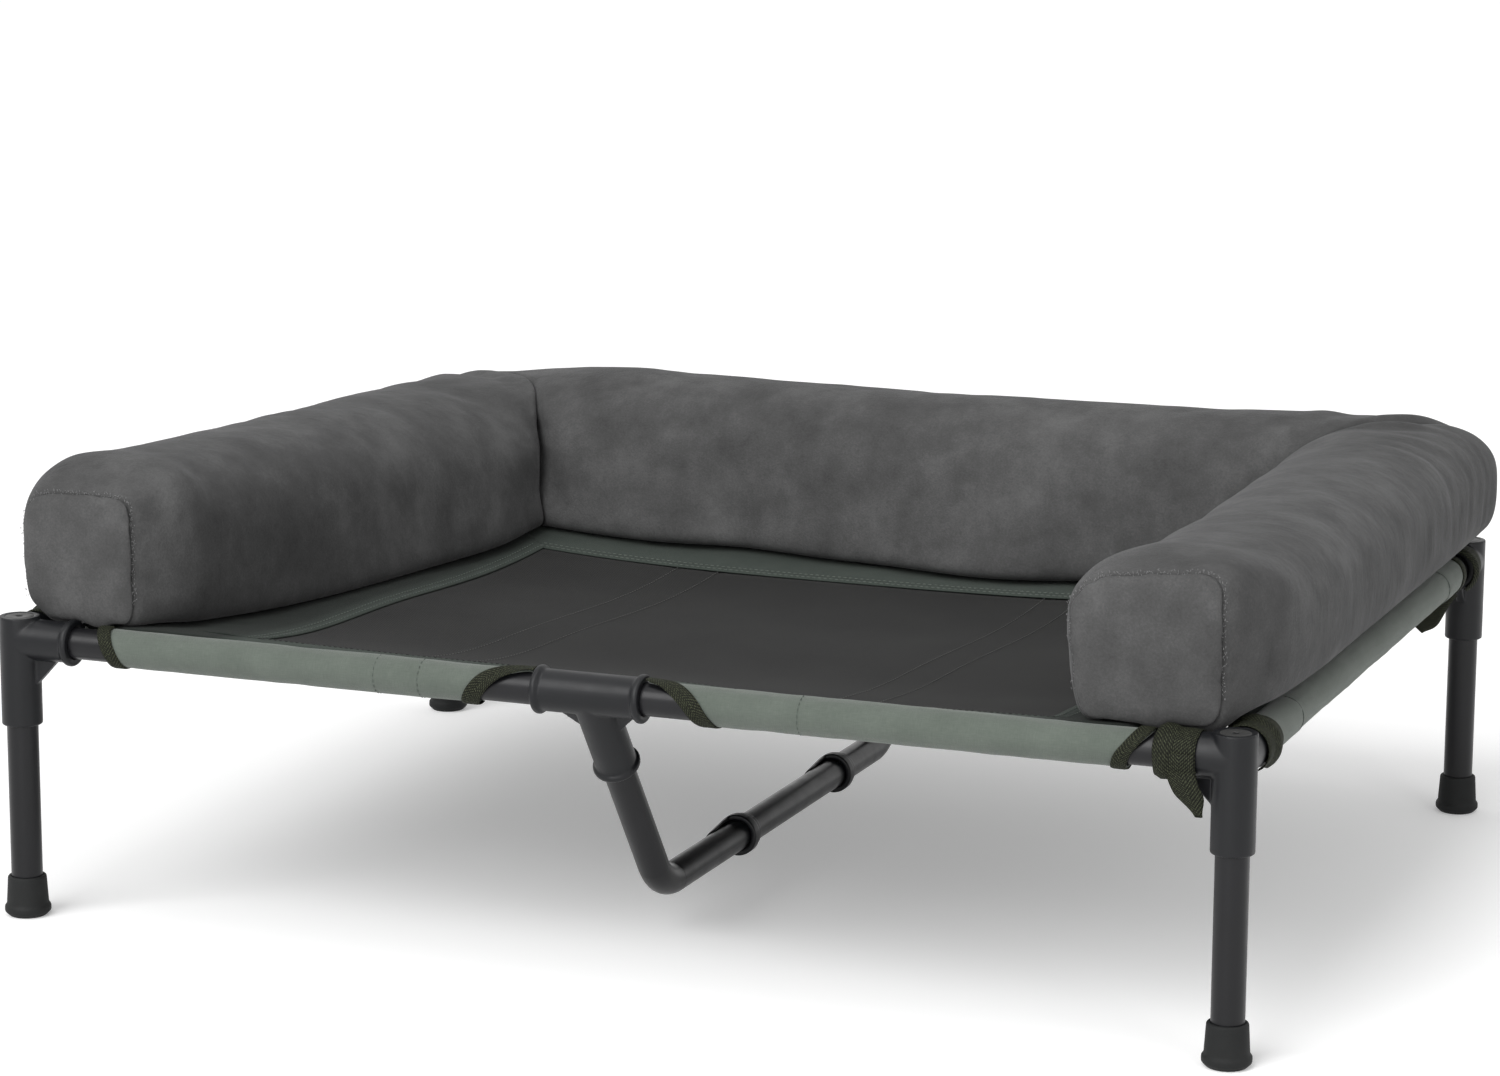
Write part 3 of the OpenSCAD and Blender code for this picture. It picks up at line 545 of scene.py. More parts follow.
# cloth sheets of the sling
def walled(top, low, uvAt, rings=False):  # two grids of points and a rim; uvAt is a place on the cloth
    rows, cols = top.shape[:2]
    steps = cols if rings else cols - 1
    faces, uv = [], []

    def put(*points):  # each point is its layer, row and column
        faces.append(tuple((layer * rows + i) * cols + j % cols for layer, i, j in points))
        uv.extend(uvAt(i, j) for _, i, j in points)

    for i in range(rows - 1):
        for j in range(steps):
            quad = ((i, j), (i, j + 1), (i + 1, j + 1), (i + 1, j))
            put(*((0, a, b) for a, b in quad))
            put(*((1, a, b) for a, b in quad[::-1]))
    edges = [((i, j), (i, j + 1)) for i in (0, rows - 1) for j in range(steps)]
    if not rings:
        edges += [((i, j), (i + 1, j)) for j in (0, cols - 1) for i in range(rows - 1)]
    for (i, j), (a, b) in edges:
        put((0, i, j), (0, a, b), (1, a, b), (1, i, j))
    return np.concatenate([top.reshape(-1, 3), low.reshape(-1, 3)]), faces, uv


sling = {
    "hem": 0.010, "clothT": 0.0009, "railTop": 0.2127, "easeReach": 0.012,
    "fuller": 0.0085, "fullY": -0.12, "fullReach": 0.125, "fullX": 0.335,
    "frontDip": 0.0026, "dipY": -0.304, "dipReach": 0.03, "dipX": (0.03, 0.14, 0.3, 0.37),
    "meshLap": 0.006, "borderLap": 0.003, "meshSunk": 0.0006, "strapRows": (-0.147, -0.109, 0.154, 0.186),
    "mitreX": 0.404, "mitreY": 0.305, "cutX": 0.371, "cutY": 0.272, "notchX": 0.0405, "notch": 0.009,
    "curl": 0.0068, "curlReach": 0.009, "curlX": (0.371, 0.381), "curlY": (0.285, 0.3),
    "curlAcross": (0.655, 0.756),
}


def sheetFromGrid(name, grid, material, slot, node):  # points on the upper face, with a wall below
    up = gridNormals(grid, False)
    up *= np.sign(up[..., 2:3]) + (up[..., 2:3] == 0)
    verts, faces, uv = walled(grid, grid - up * sling["clothT"], lambda i, j: grid[i, j, :2])
    return assign(newPiece(name, verts, faces, material, uv), "frame", slot, node)


def slingHeight(x, y):  # the deck, fuller towards the open front, and eased down to lie on the sleeves
    x, y = np.broadcast_arrays(np.asarray(x, float), np.asarray(y, float))
    rx, ry = cot["sewnX"], cot["sewnY"]
    edgeX, edgeY = rx - np.abs(x), ry - np.abs(y)
    full = sling["fuller"] * bell(y - sling["fullY"], sling["fullReach"])
    full = full * smoothStep(sling["fullX"] - np.abs(x), 0, 0.07) * smoothStep(y + ry, 0, 0.06)
    full = full - sling["frontDip"] * bell(y - sling["dipY"], sling["dipReach"]) * plateau(x, *sling["dipX"])
    atRail = np.where(edgeX < edgeY, deck(rx, y), deck(x, ry)) - sling["railTop"]
    return deck(x, y) + full - atRail * np.exp(-np.maximum(np.minimum(edgeX, edgeY), 0) / sling["easeReach"])


def meshWindow():
    lap = sling["meshLap"]
    x = np.linspace(-cot["meshLeft"] - lap, cot["meshRight"] + lap, 111)
    y = np.linspace(cot["meshFront"] - lap, cot["meshRear"] + lap, 91)
    gx, gy = np.meshgrid(x, y, indexing="ij")
    p = np.stack([gx, gy, np.zeros_like(gx)], -1)
    gz = slingHeight(gx, gy) - sling["meshSunk"] + 0.0004 * waver(p, 0.09, 2)
    inside = np.minimum(np.minimum(gx - x[0], x[-1] - gx), np.minimum(gy - y[0], y[-1] - gy))
    gz -= 0.0011 * (1 - smoothStep(inside, 0.005, 0.012))  # down under the borders' hems
    for strapX in sling["strapRows"]:  # drawn in along the straps' stitch rows
        gz -= 0.0004 * bell(gx - strapX, 0.003)
    piece = sheetFromGrid("meshWindow", np.stack([gx, gy, gz], -1), airMesh, "mesh", "mesh_panel")


def border(node, outer, inner, along, across, seed):
    outside, inside = evenly(outer, along), evenly(inner, along)
    v = np.linspace(0, 1, across)[None, :, None]
    flat = outside[:, None, :] * (1 - v) + inside[:, None, :] * v
    gx, gy = flat[..., 0], flat[..., 1]
    p = np.stack([gx, gy, np.zeros_like(gx)], -1)
    toMesh = np.linalg.norm(flat - inside[:, None, :], axis=-1)
    toRail = np.linalg.norm(flat - outside[:, None, :], axis=-1)
    free = smoothStep(toRail, 0.002, 0.03) * smoothStep(toMesh, 0.004, 0.03)
    gz = slingHeight(gx, gy) + (0.0008 * waver(p, 0.05, seed) + 0.0005 * waver(p, 0.018, seed + 5)) * free
    gz += 0.0006 * bell(toMesh, sling["hem"], 6)  # the folded hem over the mesh
    gz -= 0.0014 * np.exp(-toRail / 0.0025)  # sewn into the sleeve
    farX, farY, lean = np.abs(gx), np.abs(gy), sling["curlAcross"]
    toCorner = np.maximum((sling["cutX"] - farX) * lean[0] + (cot["sewnY"] - farY) * lean[1], 0)
    curl = smoothStep(farX, *sling["curlX"]) * smoothStep(farY, *sling["curlY"])
    curl = curl * bell(toCorner, sling["curlReach"])
    gz -= sling["curl"] * curl  # the cut corner curls down between the rails
    grid = np.stack([gx, gy, gz], -1)
    piece = sheetFromGrid(node.replace("_", "Border_"), grid, borderCanvas, "canvas", node)


def borders():
    lap, rx, ry = sling["borderLap"], cot["sewnX"], cot["sewnY"]
    left, right = -cot["meshLeft"] + lap, cot["meshRight"] - lap
    front, rear = cot["meshFront"], cot["meshRear"]
    mitreX, mitreY, cutX, cutY, notchX = (sling[k] for k in ("mitreX", "mitreY", "cutX", "cutY", "notchX"))
    notchY = ry - sling["notch"]
    for end, word in ends:
        half = [(notchX, notchY), (notchX + 0.001, ry), (cutX, ry), (mitreX, mitreY)]
        outer = [(-x, end * y) for x, y in half[::-1]] + [(x, end * y) for x, y in half]
        meshY = front + lap if end < 0 else rear - lap
        border("canvas_" + word, outer, [(left, meshY), (right, meshY)], 221, 9 if end < 0 else 31,
               3 if end < 0 else 4)
    for side, hand in hands:
        outer = [(side * x, y) for x, y in ((mitreX, -mitreY), (rx, -cutY), (rx, cutY), (mitreX, mitreY))]
        edge = left if side < 0 else right
        border("canvas_" + hand, outer, [(edge, front), (edge, rear)], 121, 31,
               6 if side < 0 else 7)


meshWindow()
borders()
print("sling sheets laid")


# sleeves round the rails; turn 0 is the top, and a quarter turn faces outwards
sleeve = {
    "wall": 0.0011, "slack": 0.0007, "turns": 56, "step": 0.005, "stop": 0.066, "shift": 0.0058,
    "sideSlant": 0.006, "slant": {-1: 0.006, 1: 0.0085}, "slantPower": 1.6, "sideFront": {-1: 0.0, 1: 0.011},
    "cuff": 0.22, "cuffStep": 0.0006,
    "teeLow": 0.0865, "teeSweep": 0.046, "teeTurn": math.radians(200), "teeNear": 0.0402, "teeUnder": 0.0045,
}


def railFrame(kind, side):  # a point on a rail's axis from a place along it, its outward direction, its axis
    alongX = np.array([1.0, 0, 0])
    alongY = np.array([0, 1.0, 0])
    axis, outward, out = alongY, side * alongX, cot["legX"]
    if kind == "end":
        axis, outward, out = alongX, side * alongY, cot["legY"]

    def place(s):
        return axis * s[..., None] + outward * out + upward * cot["railZ"]

    return place, outward, axis


def around(outward, t):  # directions from a rail's axis at each turn
    return outward * np.sin(t)[..., None] + upward * np.cos(t)[..., None]


def sleeveTube(name, node, kind, side, start, stop, seed):  # start and stop give the ends by turn
    place, outward = railFrame(kind, side)[:2]
    n, radius = sleeve["turns"], cot["sleeveR"]
    turns = np.linspace(0, 2 * math.pi, n, endpoint=False)
    s0, s1 = start(turns), stop(turns)
    count = int(abs(s1.mean() - s0.mean()) / sleeve["step"]) + 2
    share = np.linspace(0, 1, count)[:, None]
    s = s0[None] * (1 - share) + s1[None] * share
    t = np.broadcast_to(turns[None], s.shape)
    ring = np.stack([s, np.cos(t) * 0.03, np.sin(t) * 0.03], -1)
    r = radius - 0.0004 + sleeve["slack"] * (1 - np.cos(t)) / 2
    r = r + 0.00035 * waver(ring, 0.03, seed) + 0.00025 * waver(ring * (1, 2.4, 2.4), 0.014, seed + 3)
    if kind == "side":  # small folds where the bolster presses on the sleeve
        fold = np.maximum(0, waver(ring * (1.6, 0.5, 0.5), 0.012, seed + 7)) ** 2
        r = r + 0.0016 * fold * smoothStep(waver(ring, 0.12, seed + 9), 0.1, 0.6)
        r = r + sleeve["cuffStep"] * smoothStep(np.abs(s), sleeve["cuff"] - 0.001, sleeve["cuff"] + 0.001)
    spot = around(outward, t)
    outside = place(s) + spot * r[..., None]
    inside = place(s) + spot * np.maximum(r - sleeve["wall"], cot["tubeR"] + 0.0001)[..., None]
    girth = 2 * math.pi * radius
    verts, faces, uv = walled(outside, inside, lambda i, j: (s[i, j % n], girth * j / n), rings=True)
    piece = assign(newPiece(name, verts, faces, sleeveCanvas, uv), "frame", "canvas", node)


def teeEdge(u):  # the sewn edge by the tee: place along the rail and turn, from below the rail to its top
    return sleeve["teeLow"] - sleeve["teeSweep"] * u ** 2.2, sleeve["teeTurn"] * (1 - u) ** 1.25


def teeStop(turns):  # where the sleeve ends by the tee, at each turn
    u = 1 - (np.minimum(turns, 2 * math.pi - turns) / sleeve["teeTurn"]) ** 0.8
    return np.maximum(teeEdge(u)[0] - sleeve["teeUnder"], sleeve["teeNear"])


def endStop(side, t, back=0.0):  # where a front or rear sleeve ends, leaning out most near the top
    lean = 2 * ((1 + np.cos(t)) / 2) ** sleeve["slantPower"] - 1
    reach = cot["legX"] - sleeve["stop"] + side * sleeve["shift"] - back
    return side * (reach + sleeve["slant"][side] * lean)


def sideStop(side, end, t, back=0.0):  # where a side sleeve ends
    more = sleeve["sideFront"][side] if end < 0 else 0
    return end * (cot["legY"] - sleeve["stop"] + more - back + sleeve["sideSlant"] * np.cos(t))


def sleeves():
    for end, word in ends:
        for side, hand in hands:
            sleeveTube("sleeve%s_%s" % (word.capitalize(), hand), "sleeve_%s_%s" % (word, hand), "end", end,
                       lambda t: endStop(side, t), lambda t: side * teeStop(t),
                       11 + end + 2 * side)
    for side, hand in hands:
        sleeveTube("sleeveSide_" + hand, "sleeve_" + hand, "side", side, lambda t: sideStop(side, -1, t),
                   lambda t: sideStop(side, 1, t), 23 + side)


sleeves()
print("sleeves fitted")


# webbing: tape along a path
def tape(path, out, across, width, thickness, lift=None, columns=7):
    # path: middle points on the surface below; out, across: unit directions; width: one for each point
    path, out, across = (np.asarray(v, float) for v in (path, out, across))
    width = np.broadcast_to(np.asarray(width, float), (len(path),))
    v = np.linspace(-0.5, 0.5, columns)
    run = np.concatenate([[0], np.cumsum(np.linalg.norm(np.diff(path, axis=0), axis=1))])
    side = path[:, None] + across[:, None] * (v[None, :, None] * width[:, None, None])
    rise = np.zeros((len(path), columns)) if lift is None else np.asarray(lift(run, v), float)
    edge = (np.abs(v) > 0.49)[None]  # thinner at the edges
    top = side + out[:, None] * (rise + thickness * (1 - 0.35 * edge))[..., None]
    low = side + out[:, None] * (rise + thickness * 0.15 * edge)[..., None]
    return walled(top, low, lambda i, j: (run[i], v[j] * width[i]))


def joinTapes(name, tapes, material, body, slot, node):
    verts, faces, uv = [], [], []
    for v, f, m in tapes:
        start = sum(len(x) for x in verts)
        verts.append(v)
        faces += [tuple(k + start for k in face) for face in f]
        uv += list(m)
    assign(newPiece(name, np.concatenate(verts), faces, material, uv), body, slot, node)


def ringTape(kind, side, middle, radius, width, thickness, first, last, seed, lift=None, steps=60):
    # a tape round a rail's axis, whose middle sits at middle(turn)
    place, outward, axis = railFrame(kind, side)
    t = np.linspace(first, last, steps)
    spot = around(outward, t)
    s = middle(t)
    wob = 0.0004 * waver(np.stack([s, np.cos(t) * 0.03, np.sin(t) * 0.03], -1), 0.018, seed)
    path = place(s + wob) + spot * (radius + 0.5 * np.abs(wob))[:, None]
    return tape(path, spot, np.broadcast_to(axis, path.shape), width, thickness, lift)


binding = {"width": 0.0105, "thickness": 0.0012, "gap": 0.00035, "over": 0.0006, "first": -8, "last": 322,
           "teeWidth": 0.0125, "teeTaper": 0.0055}


def teeTape(side, end, radius, seed):  # along the sewn edge, and over the rail's top towards the tee
    place, outward = railFrame("end", end)[:2]
    u = np.linspace(0, 1, 70)
    s, t = teeEdge(u)
    wob = 0.0004 * waver(np.stack([s, t * 0.013, 0 * t], -1), 0.012, seed)
    spot = around(outward, t)
    path = place(side * (s + wob)) + spot * radius
    across = np.cross(spot, np.gradient(path, axis=0))
    across /= np.linalg.norm(across, axis=1, keepdims=True)

    def lift(run, v):  # small ripples
        at = np.stack(np.broadcast_arrays(run[:, None], v[None] * 0.012, 0.0), -1)
        return 0.0004 * np.abs(waver(at, 0.01, seed))

    width = binding["teeWidth"] - binding["teeTaper"] * u ** 3
    return tape(path, spot, across, width, binding["thickness"], lift)


def bindings():
    r, w, thick = cot["sleeveR"] + binding["gap"], binding["width"], binding["thickness"]
    back = w / 2 - binding["over"]
    first, last = math.radians(binding["first"]), math.radians(binding["last"])
    for end, word in ends:
        tapes = []
        for side in (-1, 1):
            tapes.append(ringTape("end", end, lambda t: endStop(side, t, back), r, w, thick, first, last,
                                  31 + side + end))
            tapes.append(teeTape(side, end, r, 37 + side + end))
        joinTapes("bindingTape_" + word, tapes, webbingTape, "frame", "webbing", "binding_" + word)
    for side, hand in hands:
        tapes = [ringTape("side", side, lambda t: sideStop(side, end, t, back), r, w, thick, first, last,
                          43 + side + end) for end in (-1, 1)]
        joinTapes("bindingTape_" + hand, tapes, webbingTape, "frame", "webbing", "binding_" + hand)


bindings()

cornerStrap = {
    "width": 0.0275, "from": 0.0215, "thickness": 0.0013, "open": 34, "tail": 0.037, "tailWidth": 0.019,
    "beadAt": 0.0425, "beadEnd": 0.0475, "beadStep": 0.0022, "tailLean": 0.34, "tailFall": 0.75,
    "inside": (0.431, 0.304, 0.1835), "insideRun": (-0.012, -0.05, -0.024),
    "insideAcross": (0.72, 0.15, -0.68),
}


def strapLoop(side, end, onEnd, seed):  # round the front or rear socket when onEnd, else the side one
    c = cornerStrap
    kind, hand = ("end", end) if onEnd else ("side", side)
    leg, towards = (side * cot["legX"], -side) if onEnd else (end * cot["legY"], -end)
    w = c["width"]
    middle = leg + towards * (c["from"] + w / 2)
    first, last = math.radians(c["open"]) - math.pi, math.pi - math.radians(c["open"])

    def lift(run, v):  # over the bead at the socket's mouth, with slack ripples
        off = c["from"] + (0.5 + towards * v) * w
        overBead = c["beadStep"] * bell(off - c["beadAt"], 0.0042, 4) * (off < c["beadEnd"])
        spot = np.stack(np.broadcast_arrays(run[:, None], v[None] * w, 0.0), -1)
        slack = 0.0006 * (1 + waver(spot, 0.013, seed)) + 0.0003 * (1 + waver(spot, 0.006, seed + 1))
        fromTop = np.abs(np.linspace(first, last, len(run)))[:, None]
        return overBead[None] + slack * smoothStep(fromTop, 0.3, 1.2)

    return ringTape(kind, hand, lambda t: np.full_like(t, middle), cot["socketR"] + 0.0003, w, c["thickness"],
                    first, last, seed, lift, 80), railFrame(kind, hand), middle, towards


def tailOutside(rail, middle, towards):  # hanging outside, leaning to the leg
    c = cornerStrap
    place, outward, axis = rail
    turned, fallen = 8, 14
    spot = around(outward, np.linspace(math.radians(80), math.radians(122), turned))
    base = place(np.full(turned, middle - towards * 0.004)) + spot * (cot["socketR"] + 0.0026)
    fall = np.linspace(0.003, c["tail"], fallen)[:, None]
    drop = base[-1] - upward * c["tailFall"] * fall - axis * (c["tailLean"] * towards * fall)
    drop = drop + outward * (0.0016 * np.sin(fall * 150))
    path = np.concatenate([base, drop])
    out = np.concatenate([spot, np.broadcast_to(outward * 0.94 - upward * 0.34, (fallen, 3))])
    out = out / np.linalg.norm(out, axis=1, keepdims=True)
    taper = np.concatenate([np.ones(turned), 1 - 0.75 * smoothStep(np.linspace(0, 1, fallen), 0.4, 1.05)])
    return tape(path, out, np.broadcast_to(axis, path.shape), taper * c["tailWidth"], c["thickness"])


def tailInside(side, end):  # slipped inside, hanging below the rail
    c, turn = cornerStrap, np.array([side, end, 1.0])
    share = np.linspace(0, 1, 16)[:, None]
    path = turn * c["inside"] + turn * c["insideRun"] * share
    path[:, 2] += 0.0015 * np.sin(share[:, 0] * 7)
    across = np.broadcast_to(turn * c["insideAcross"], path.shape)
    out = np.cross(np.gradient(path, axis=0), across)
    out /= np.linalg.norm(out, axis=1, keepdims=True)
    taper = 1 - 0.5 * smoothStep(share[:, 0], 0.6, 1.05)
    return tape(path, out, across, taper * c["tailWidth"], c["thickness"])


def cornerStraps():
    for name, side, end in corners:
        seed = 51 + 4 * end + side
        onEnd = side * end < 0
        loop, rail, middle, towards = strapLoop(side, end, onEnd, seed)
        tapes = [loop, tailInside(side, end) if name == "rear_right" else tailOutside(rail, middle, towards)]
        if side > 0:  # the right corners show a second turn on the other socket
            tapes.append(strapLoop(side, end, not onEnd, seed + 9)[0])
        joinTapes("cornerStrap_" + name, tapes, webbingTape, "frame", "webbing", "corner_strap_" + name)


cornerStraps()


def flatTape(name, node, material, body, slot, alongX, mid, width, reach, offset, thickness, level=deck):
    # lies on the sling, from -reach to reach along one axis, with its middle at mid on the other
    s = np.linspace(-reach, reach, 101)
    at = np.full_like(s, mid)
    height = (lambda s, m: level(s, m)) if alongX else (lambda s, m: level(m, s))
    path = np.stack([s, at, height(s, at) + offset] if alongX else [at, s, height(s, at) + offset], -1)
    across = np.broadcast_to((0, 1.0, 0) if alongX else (1.0, 0, 0), path.shape)

    def lift(run, v):  # follow the sling across the width
        return height(s[:, None], mid + v[None] * width) - height(s[:, None], mid)

    out = np.broadcast_to(upward, path.shape)
    joinTapes(name, [tape(path, out, across, width, thickness, lift, 9)], material, body, slot, node)


supports = {
    "left": (-0.128, 0.038), "right": (0.17, 0.032),  # place and width
    "reach": 0.328, "below": 0.0031, "thickness": 0.0012,
}
strips = {"width": 0.040, "thickness": 0.0011, "side": 0.19, "rear": 0.25, "armX": 0.392, "backY": 0.285}
for side, hand in hands:
    x, width = supports[hand]
    flatTape("supportTape_" + hand, "support_strap_" + hand, webbingTape, "frame", "webbing", False, x, width,
             supports["reach"], -supports["below"], supports["thickness"], slingHeight)
stripKinds = (("hook", 0.0004, hookTape, "frame"), ("loop", 0.0019, loopTape, "bolster"))
for kind, above, material, body in stripKinds:
    for side, hand in hands:
        flatTape(kind + "Tape_" + hand, kind + "_strip_" + hand, material, body, "hook_loop", False,
                 side * strips["armX"], strips["width"], strips["side"], above, strips["thickness"])
    flatTape(kind + "Tape_rear", kind + "_strip_rear", material, body, "hook_loop", True,
             strips["backY"], strips["width"], strips["rear"], above, strips["thickness"])
print("webbing sewn on")


# bolster: lofted cases, filled by a cloth simulation; -1 is the left arm and 1 the right
bolster = {
    "width": 0.138, "backH": 0.105, "shoulderH": {-1: 0.111, 1: 0.106}, "cornerH": {-1: 0.088, 1: 0.101},
    "endW": {-1: 0.088, 1: 0.105}, "endH": {-1: 0.088, 1: 0.0935}, "endTilt": {-1: 0.0, 1: 0.006},
    "turn": {-1: -0.002, 1: 0.0185}, "turnLength": 0.17, "tiltLength": 0.09, "swell": 0.064,
    "x": 0.461, "y": 0.354, "panelT": 0.008, "armFront": -0.3277, "armX": -0.392, "backY": 0.285,
    "lift": 0.0033, "draw": 0.15, "drawIn": 0.02,
    "cornerSpread": 0.026, "backSpread": 0.03, "baseSpread": 0.010,
    "cornerR": 0.03, "ring": 112, "armRows": 112, "backRows": 150, "fineRing": 1440, "seamGap": 0.0003,
    "round": 0.8, "endSquare": {-1: (0.21, 0.46), 1: (0.6, 0.26)}, "squareLength": 0.11,
    "lowInner": 0.22, "lowOuter": {-1: 0.44, 1: 0.18}, "lowRound": 0.42, "lowLength": 0.2, "footPower": 1.5,
    "undercut": {-1: 0.0, 1: 0.0105}, "undercutLength": 0.12, "widen": {-1: 0.030, 1: 0.006},
    "droop": 0.0026, "droopFrom": (0.022, 0.04), "restFrom": (0.28, 0.322),
    "backFoot": [(-0.4, 0.2, -0.012), (0.36, 0.27, 0.018)],  # place along the back, reach and push
    "seamShift": 0.040, "seamFoot": 0.012, "seamAlong": (-0.457, -0.40, -0.33, -0.13),
}
support = {  # heights under an arm's front end, and where they begin and end across the front
    "sleeve": 0.2134, "bareDrop": 0.006, "bareFrom": (0.368, 0.378), "bareTo": (0.387, 0.391),
    "bareShift": 0.004,
    "strap": {-1: 0.0004, 1: 0.0016}, "socket": (0.385, 0.392, 0.418, 0.424), "connector": 0.0032,
    "corner": 0.2128, "cornerRise": 0.0022, "riseFrom": (0.424, 0.434),
    "belly": 0.0055, "bellyX": (0.388, 0.4, 0.42, 0.431), "bellyY": (0.28, 0.295), "railY": (0.319, 0.331),
}


def rise(d, span):
    return np.sin(np.pi / 2 * np.clip(d / span, 0, 1))


def signedPower(v, e):
    return np.sign(v) * np.abs(v) ** e


def sectionTurns(inner, outer, lowOuter):  # the lower half is squarer, most of all on the inner side
    t = np.linspace(0, 2 * math.pi, bolster["fineRing"], endpoint=False)
    inside = np.sin(t) > 0
    low = np.where(inside, bolster["lowInner"], lowOuter)
    power = np.where(np.cos(t) >= 0, np.where(inside, inner, outer), low)
    return t, signedPower(np.sin(t), power), signedPower(np.cos(t), power)


def cornerInset(share, length):  # how far the rounded rear corner steps in, at a share of the way to the seam
    r, half = bolster["cornerR"], math.sin(math.pi / 4)
    d = (1 - share) * length + share * r * (1 - half)
    u = np.clip(r - d, -r * half, r * half)
    return np.where(d >= r, 0, r - np.sqrt(r * r - u * u))


def standing(x, y, midZ, tall, under, inwards):  # heights from the sling up, drooping along the inner foot
    z = deck(x, y) * under + midZ * (1 - under) + bolster["lift"] + tall * (1 - under)
    return z - bolster["droop"] * under ** 3 * smoothStep(inwards, *bolster["droopFrom"])


def evenRing(ring):  # a closed ring at even steps, from its first point
    return evenly(np.concatenate([ring, ring[:1]]), bolster["ring"] + 1)[:-1]


def frontSupport(x, y, side):  # what an arm's front end lies on, from the sleeve to the open corner
    p, x = support, np.abs(x)
    bareFrom = (v + side * p["bareShift"] for v in p["bareFrom"])
    rail = p["sleeve"] - p["bareDrop"] * plateau(x, *bareFrom, *p["bareTo"])
    rail = rail + p["strap"][side] * plateau(x, *p["socket"])
    rail = rail + p["connector"] * smoothStep(x, *p["socket"][2:])
    corner = p["corner"] + p["cornerRise"] * smoothStep(x, *p["riseFrom"])
    corner = corner - p["belly"] * plateau(x, *p["bellyX"]) * smoothStep(-y, *p["bellyY"])
    return corner + (rail - corner) * smoothStep(-y, *p["railY"])


def armRing(s, side):  # drawn on the left, mirrored for the right
    b = bolster
    length = b["backY"] - b["armFront"]
    near = s * length
    inner, outer = (e + (b["round"] - e) * rise(near, b["squareLength"]) for e in b["endSquare"][side])
    low = b["lowOuter"][side]
    t, across, upright = sectionTurns(inner, outer, low + (b["lowRound"] - low) * rise(near, b["lowLength"]))
    under = (1 - upright) / 2
    midX = b["armX"] + b["turn"][side] * (1 - rise(near, b["turnLength"]))
    midZ = deck(midX, b["armFront"] + near)
    endShare = b["endW"][side] / b["width"]
    a = b["width"] / 2 * (endShare + (1 - endShare) * rise(near, b["swell"]))
    a = a * (1 - b["drawIn"] * (1 - rise(length - near, b["draw"])))
    tall = b["shoulderH"][side]
    endTall = b["endH"][side] / tall
    h = tall * (endTall + (1 - endTall) * rise(near, b["swell"])) + (b["cornerH"][side] - tall) * s
    inset = cornerInset(s, b["y"] - b["armFront"])
    spread = (b["cornerSpread"] * s * s + b["baseSpread"] * rise(near - 0.1, 0.25)) * under ** b["footPower"]
    inside = np.sin(t) > 0
    x = midX + np.where(inside, a + b["widen"][side] * s ** 1.5 + spread, a - inset) * across
    x = x - b["undercut"][side] * inside * under ** b["footPower"] * (1 - rise(near, b["undercutLength"]))
    seamY = b["y"] - b["seamGap"] - (x + b["x"]) / (1 + b["widen"][side] / b["width"])
    y = b["armFront"] + s * (seamY - b["armFront"])
    z = standing(x, y, midZ, h, under, x - midX)
    z = z - b["endTilt"][side] * across * (1 - under) * (1 - rise(near, b["tiltLength"]))
    z = z + (frontSupport(x, y, side) - deck(x, y) - b["lift"]) * under ** 3 * smoothStep(-y, *b["restFrom"])
    return evenRing(shiftSeam(np.stack([-side * x, y, z], -1)))


def shiftSeam(p):  # the left rear seam's upper part sits further along the back
    x, y, z = p[..., 0], p[..., 1], p[..., 2]
    near = plateau(x, *bolster["seamAlong"]) * smoothStep(y, 0.2, 0.285)
    high = smoothStep(z - deck(x, y), 0.02, 0.07)
    foot = bell(x + 0.274, 0.055) * bell(y - 0.195, 0.05) * (1 - high)
    return p + np.stack([bolster["seamShift"] * near * high - bolster["seamFoot"] * foot, 0 * x, 0 * x], -1)


def backRing(s):
    b = bolster
    t, across, upright = sectionTurns(b["round"], b["round"], b["lowRound"])
    under = (1 - upright) / 2
    side = 2 * s - 1
    hand = -1 if side < 0 else 1
    full = rise(-b["armX"] * (1 - abs(side)), b["draw"])
    midZ = deck(b["armX"] * side, b["backY"])
    a = b["width"] / 2 * (1 - b["drawIn"] * (1 - full))
    h = b["cornerH"][hand] + (b["backH"] - b["cornerH"][hand]) * full
    inset = cornerInset(abs(side), b["x"])
    spread = b["cornerSpread"] + (b["backSpread"] - b["cornerSpread"]) * full
    spread = spread + sum(push * bell(side - at, reach) for at, reach, push in b["backFoot"])
    y = b["backY"] - np.where(np.sin(t) < 0, a - inset, a + spread * under ** b["footPower"]) * across
    x = (b["x"] - (b["y"] - y) * (1 + b["widen"][hand] / b["width"]) - b["seamGap"]) * side
    z = standing(x, y, midZ, h, under, b["backY"] - y)
    return evenRing(shiftSeam(np.stack([x, y, z], -1)))


def ringFaces(rows, n):
    return [(i * n + j, i * n + (j + 1) % n, (i + 1) * n + (j + 1) % n, (i + 1) * n + j)
            for i in range(rows - 1) for j in range(n)]


def caseMesh(name, grid):  # a closed case over rings of points
    rows, n = grid.shape[:2]
    verts, faces = [grid.reshape(-1, 3)], ringFaces(rows, n)
    steps = [(j, (j + 1) % n) for j in range(n)]
    start = rows * n
    for row, way in ((0, -1), (rows - 1, 1)):  # each end closes over smaller rings to its middle
        middle = grid[row].mean(axis=0)
        outer = row * n
        for share in (0.75, 0.5, 0.25):
            verts.append(middle + (grid[row] - middle) * share)
            faces += [(outer + j, outer + k, start + k, start + j)[::way] for j, k in steps]
            outer = start
            start += n
        verts.append(middle[None])
        faces += [(outer + j, outer + k, start)[::way] for j, k in steps]
        start += 1
    return newPiece(name, np.concatenate(verts), faces, plushPile)


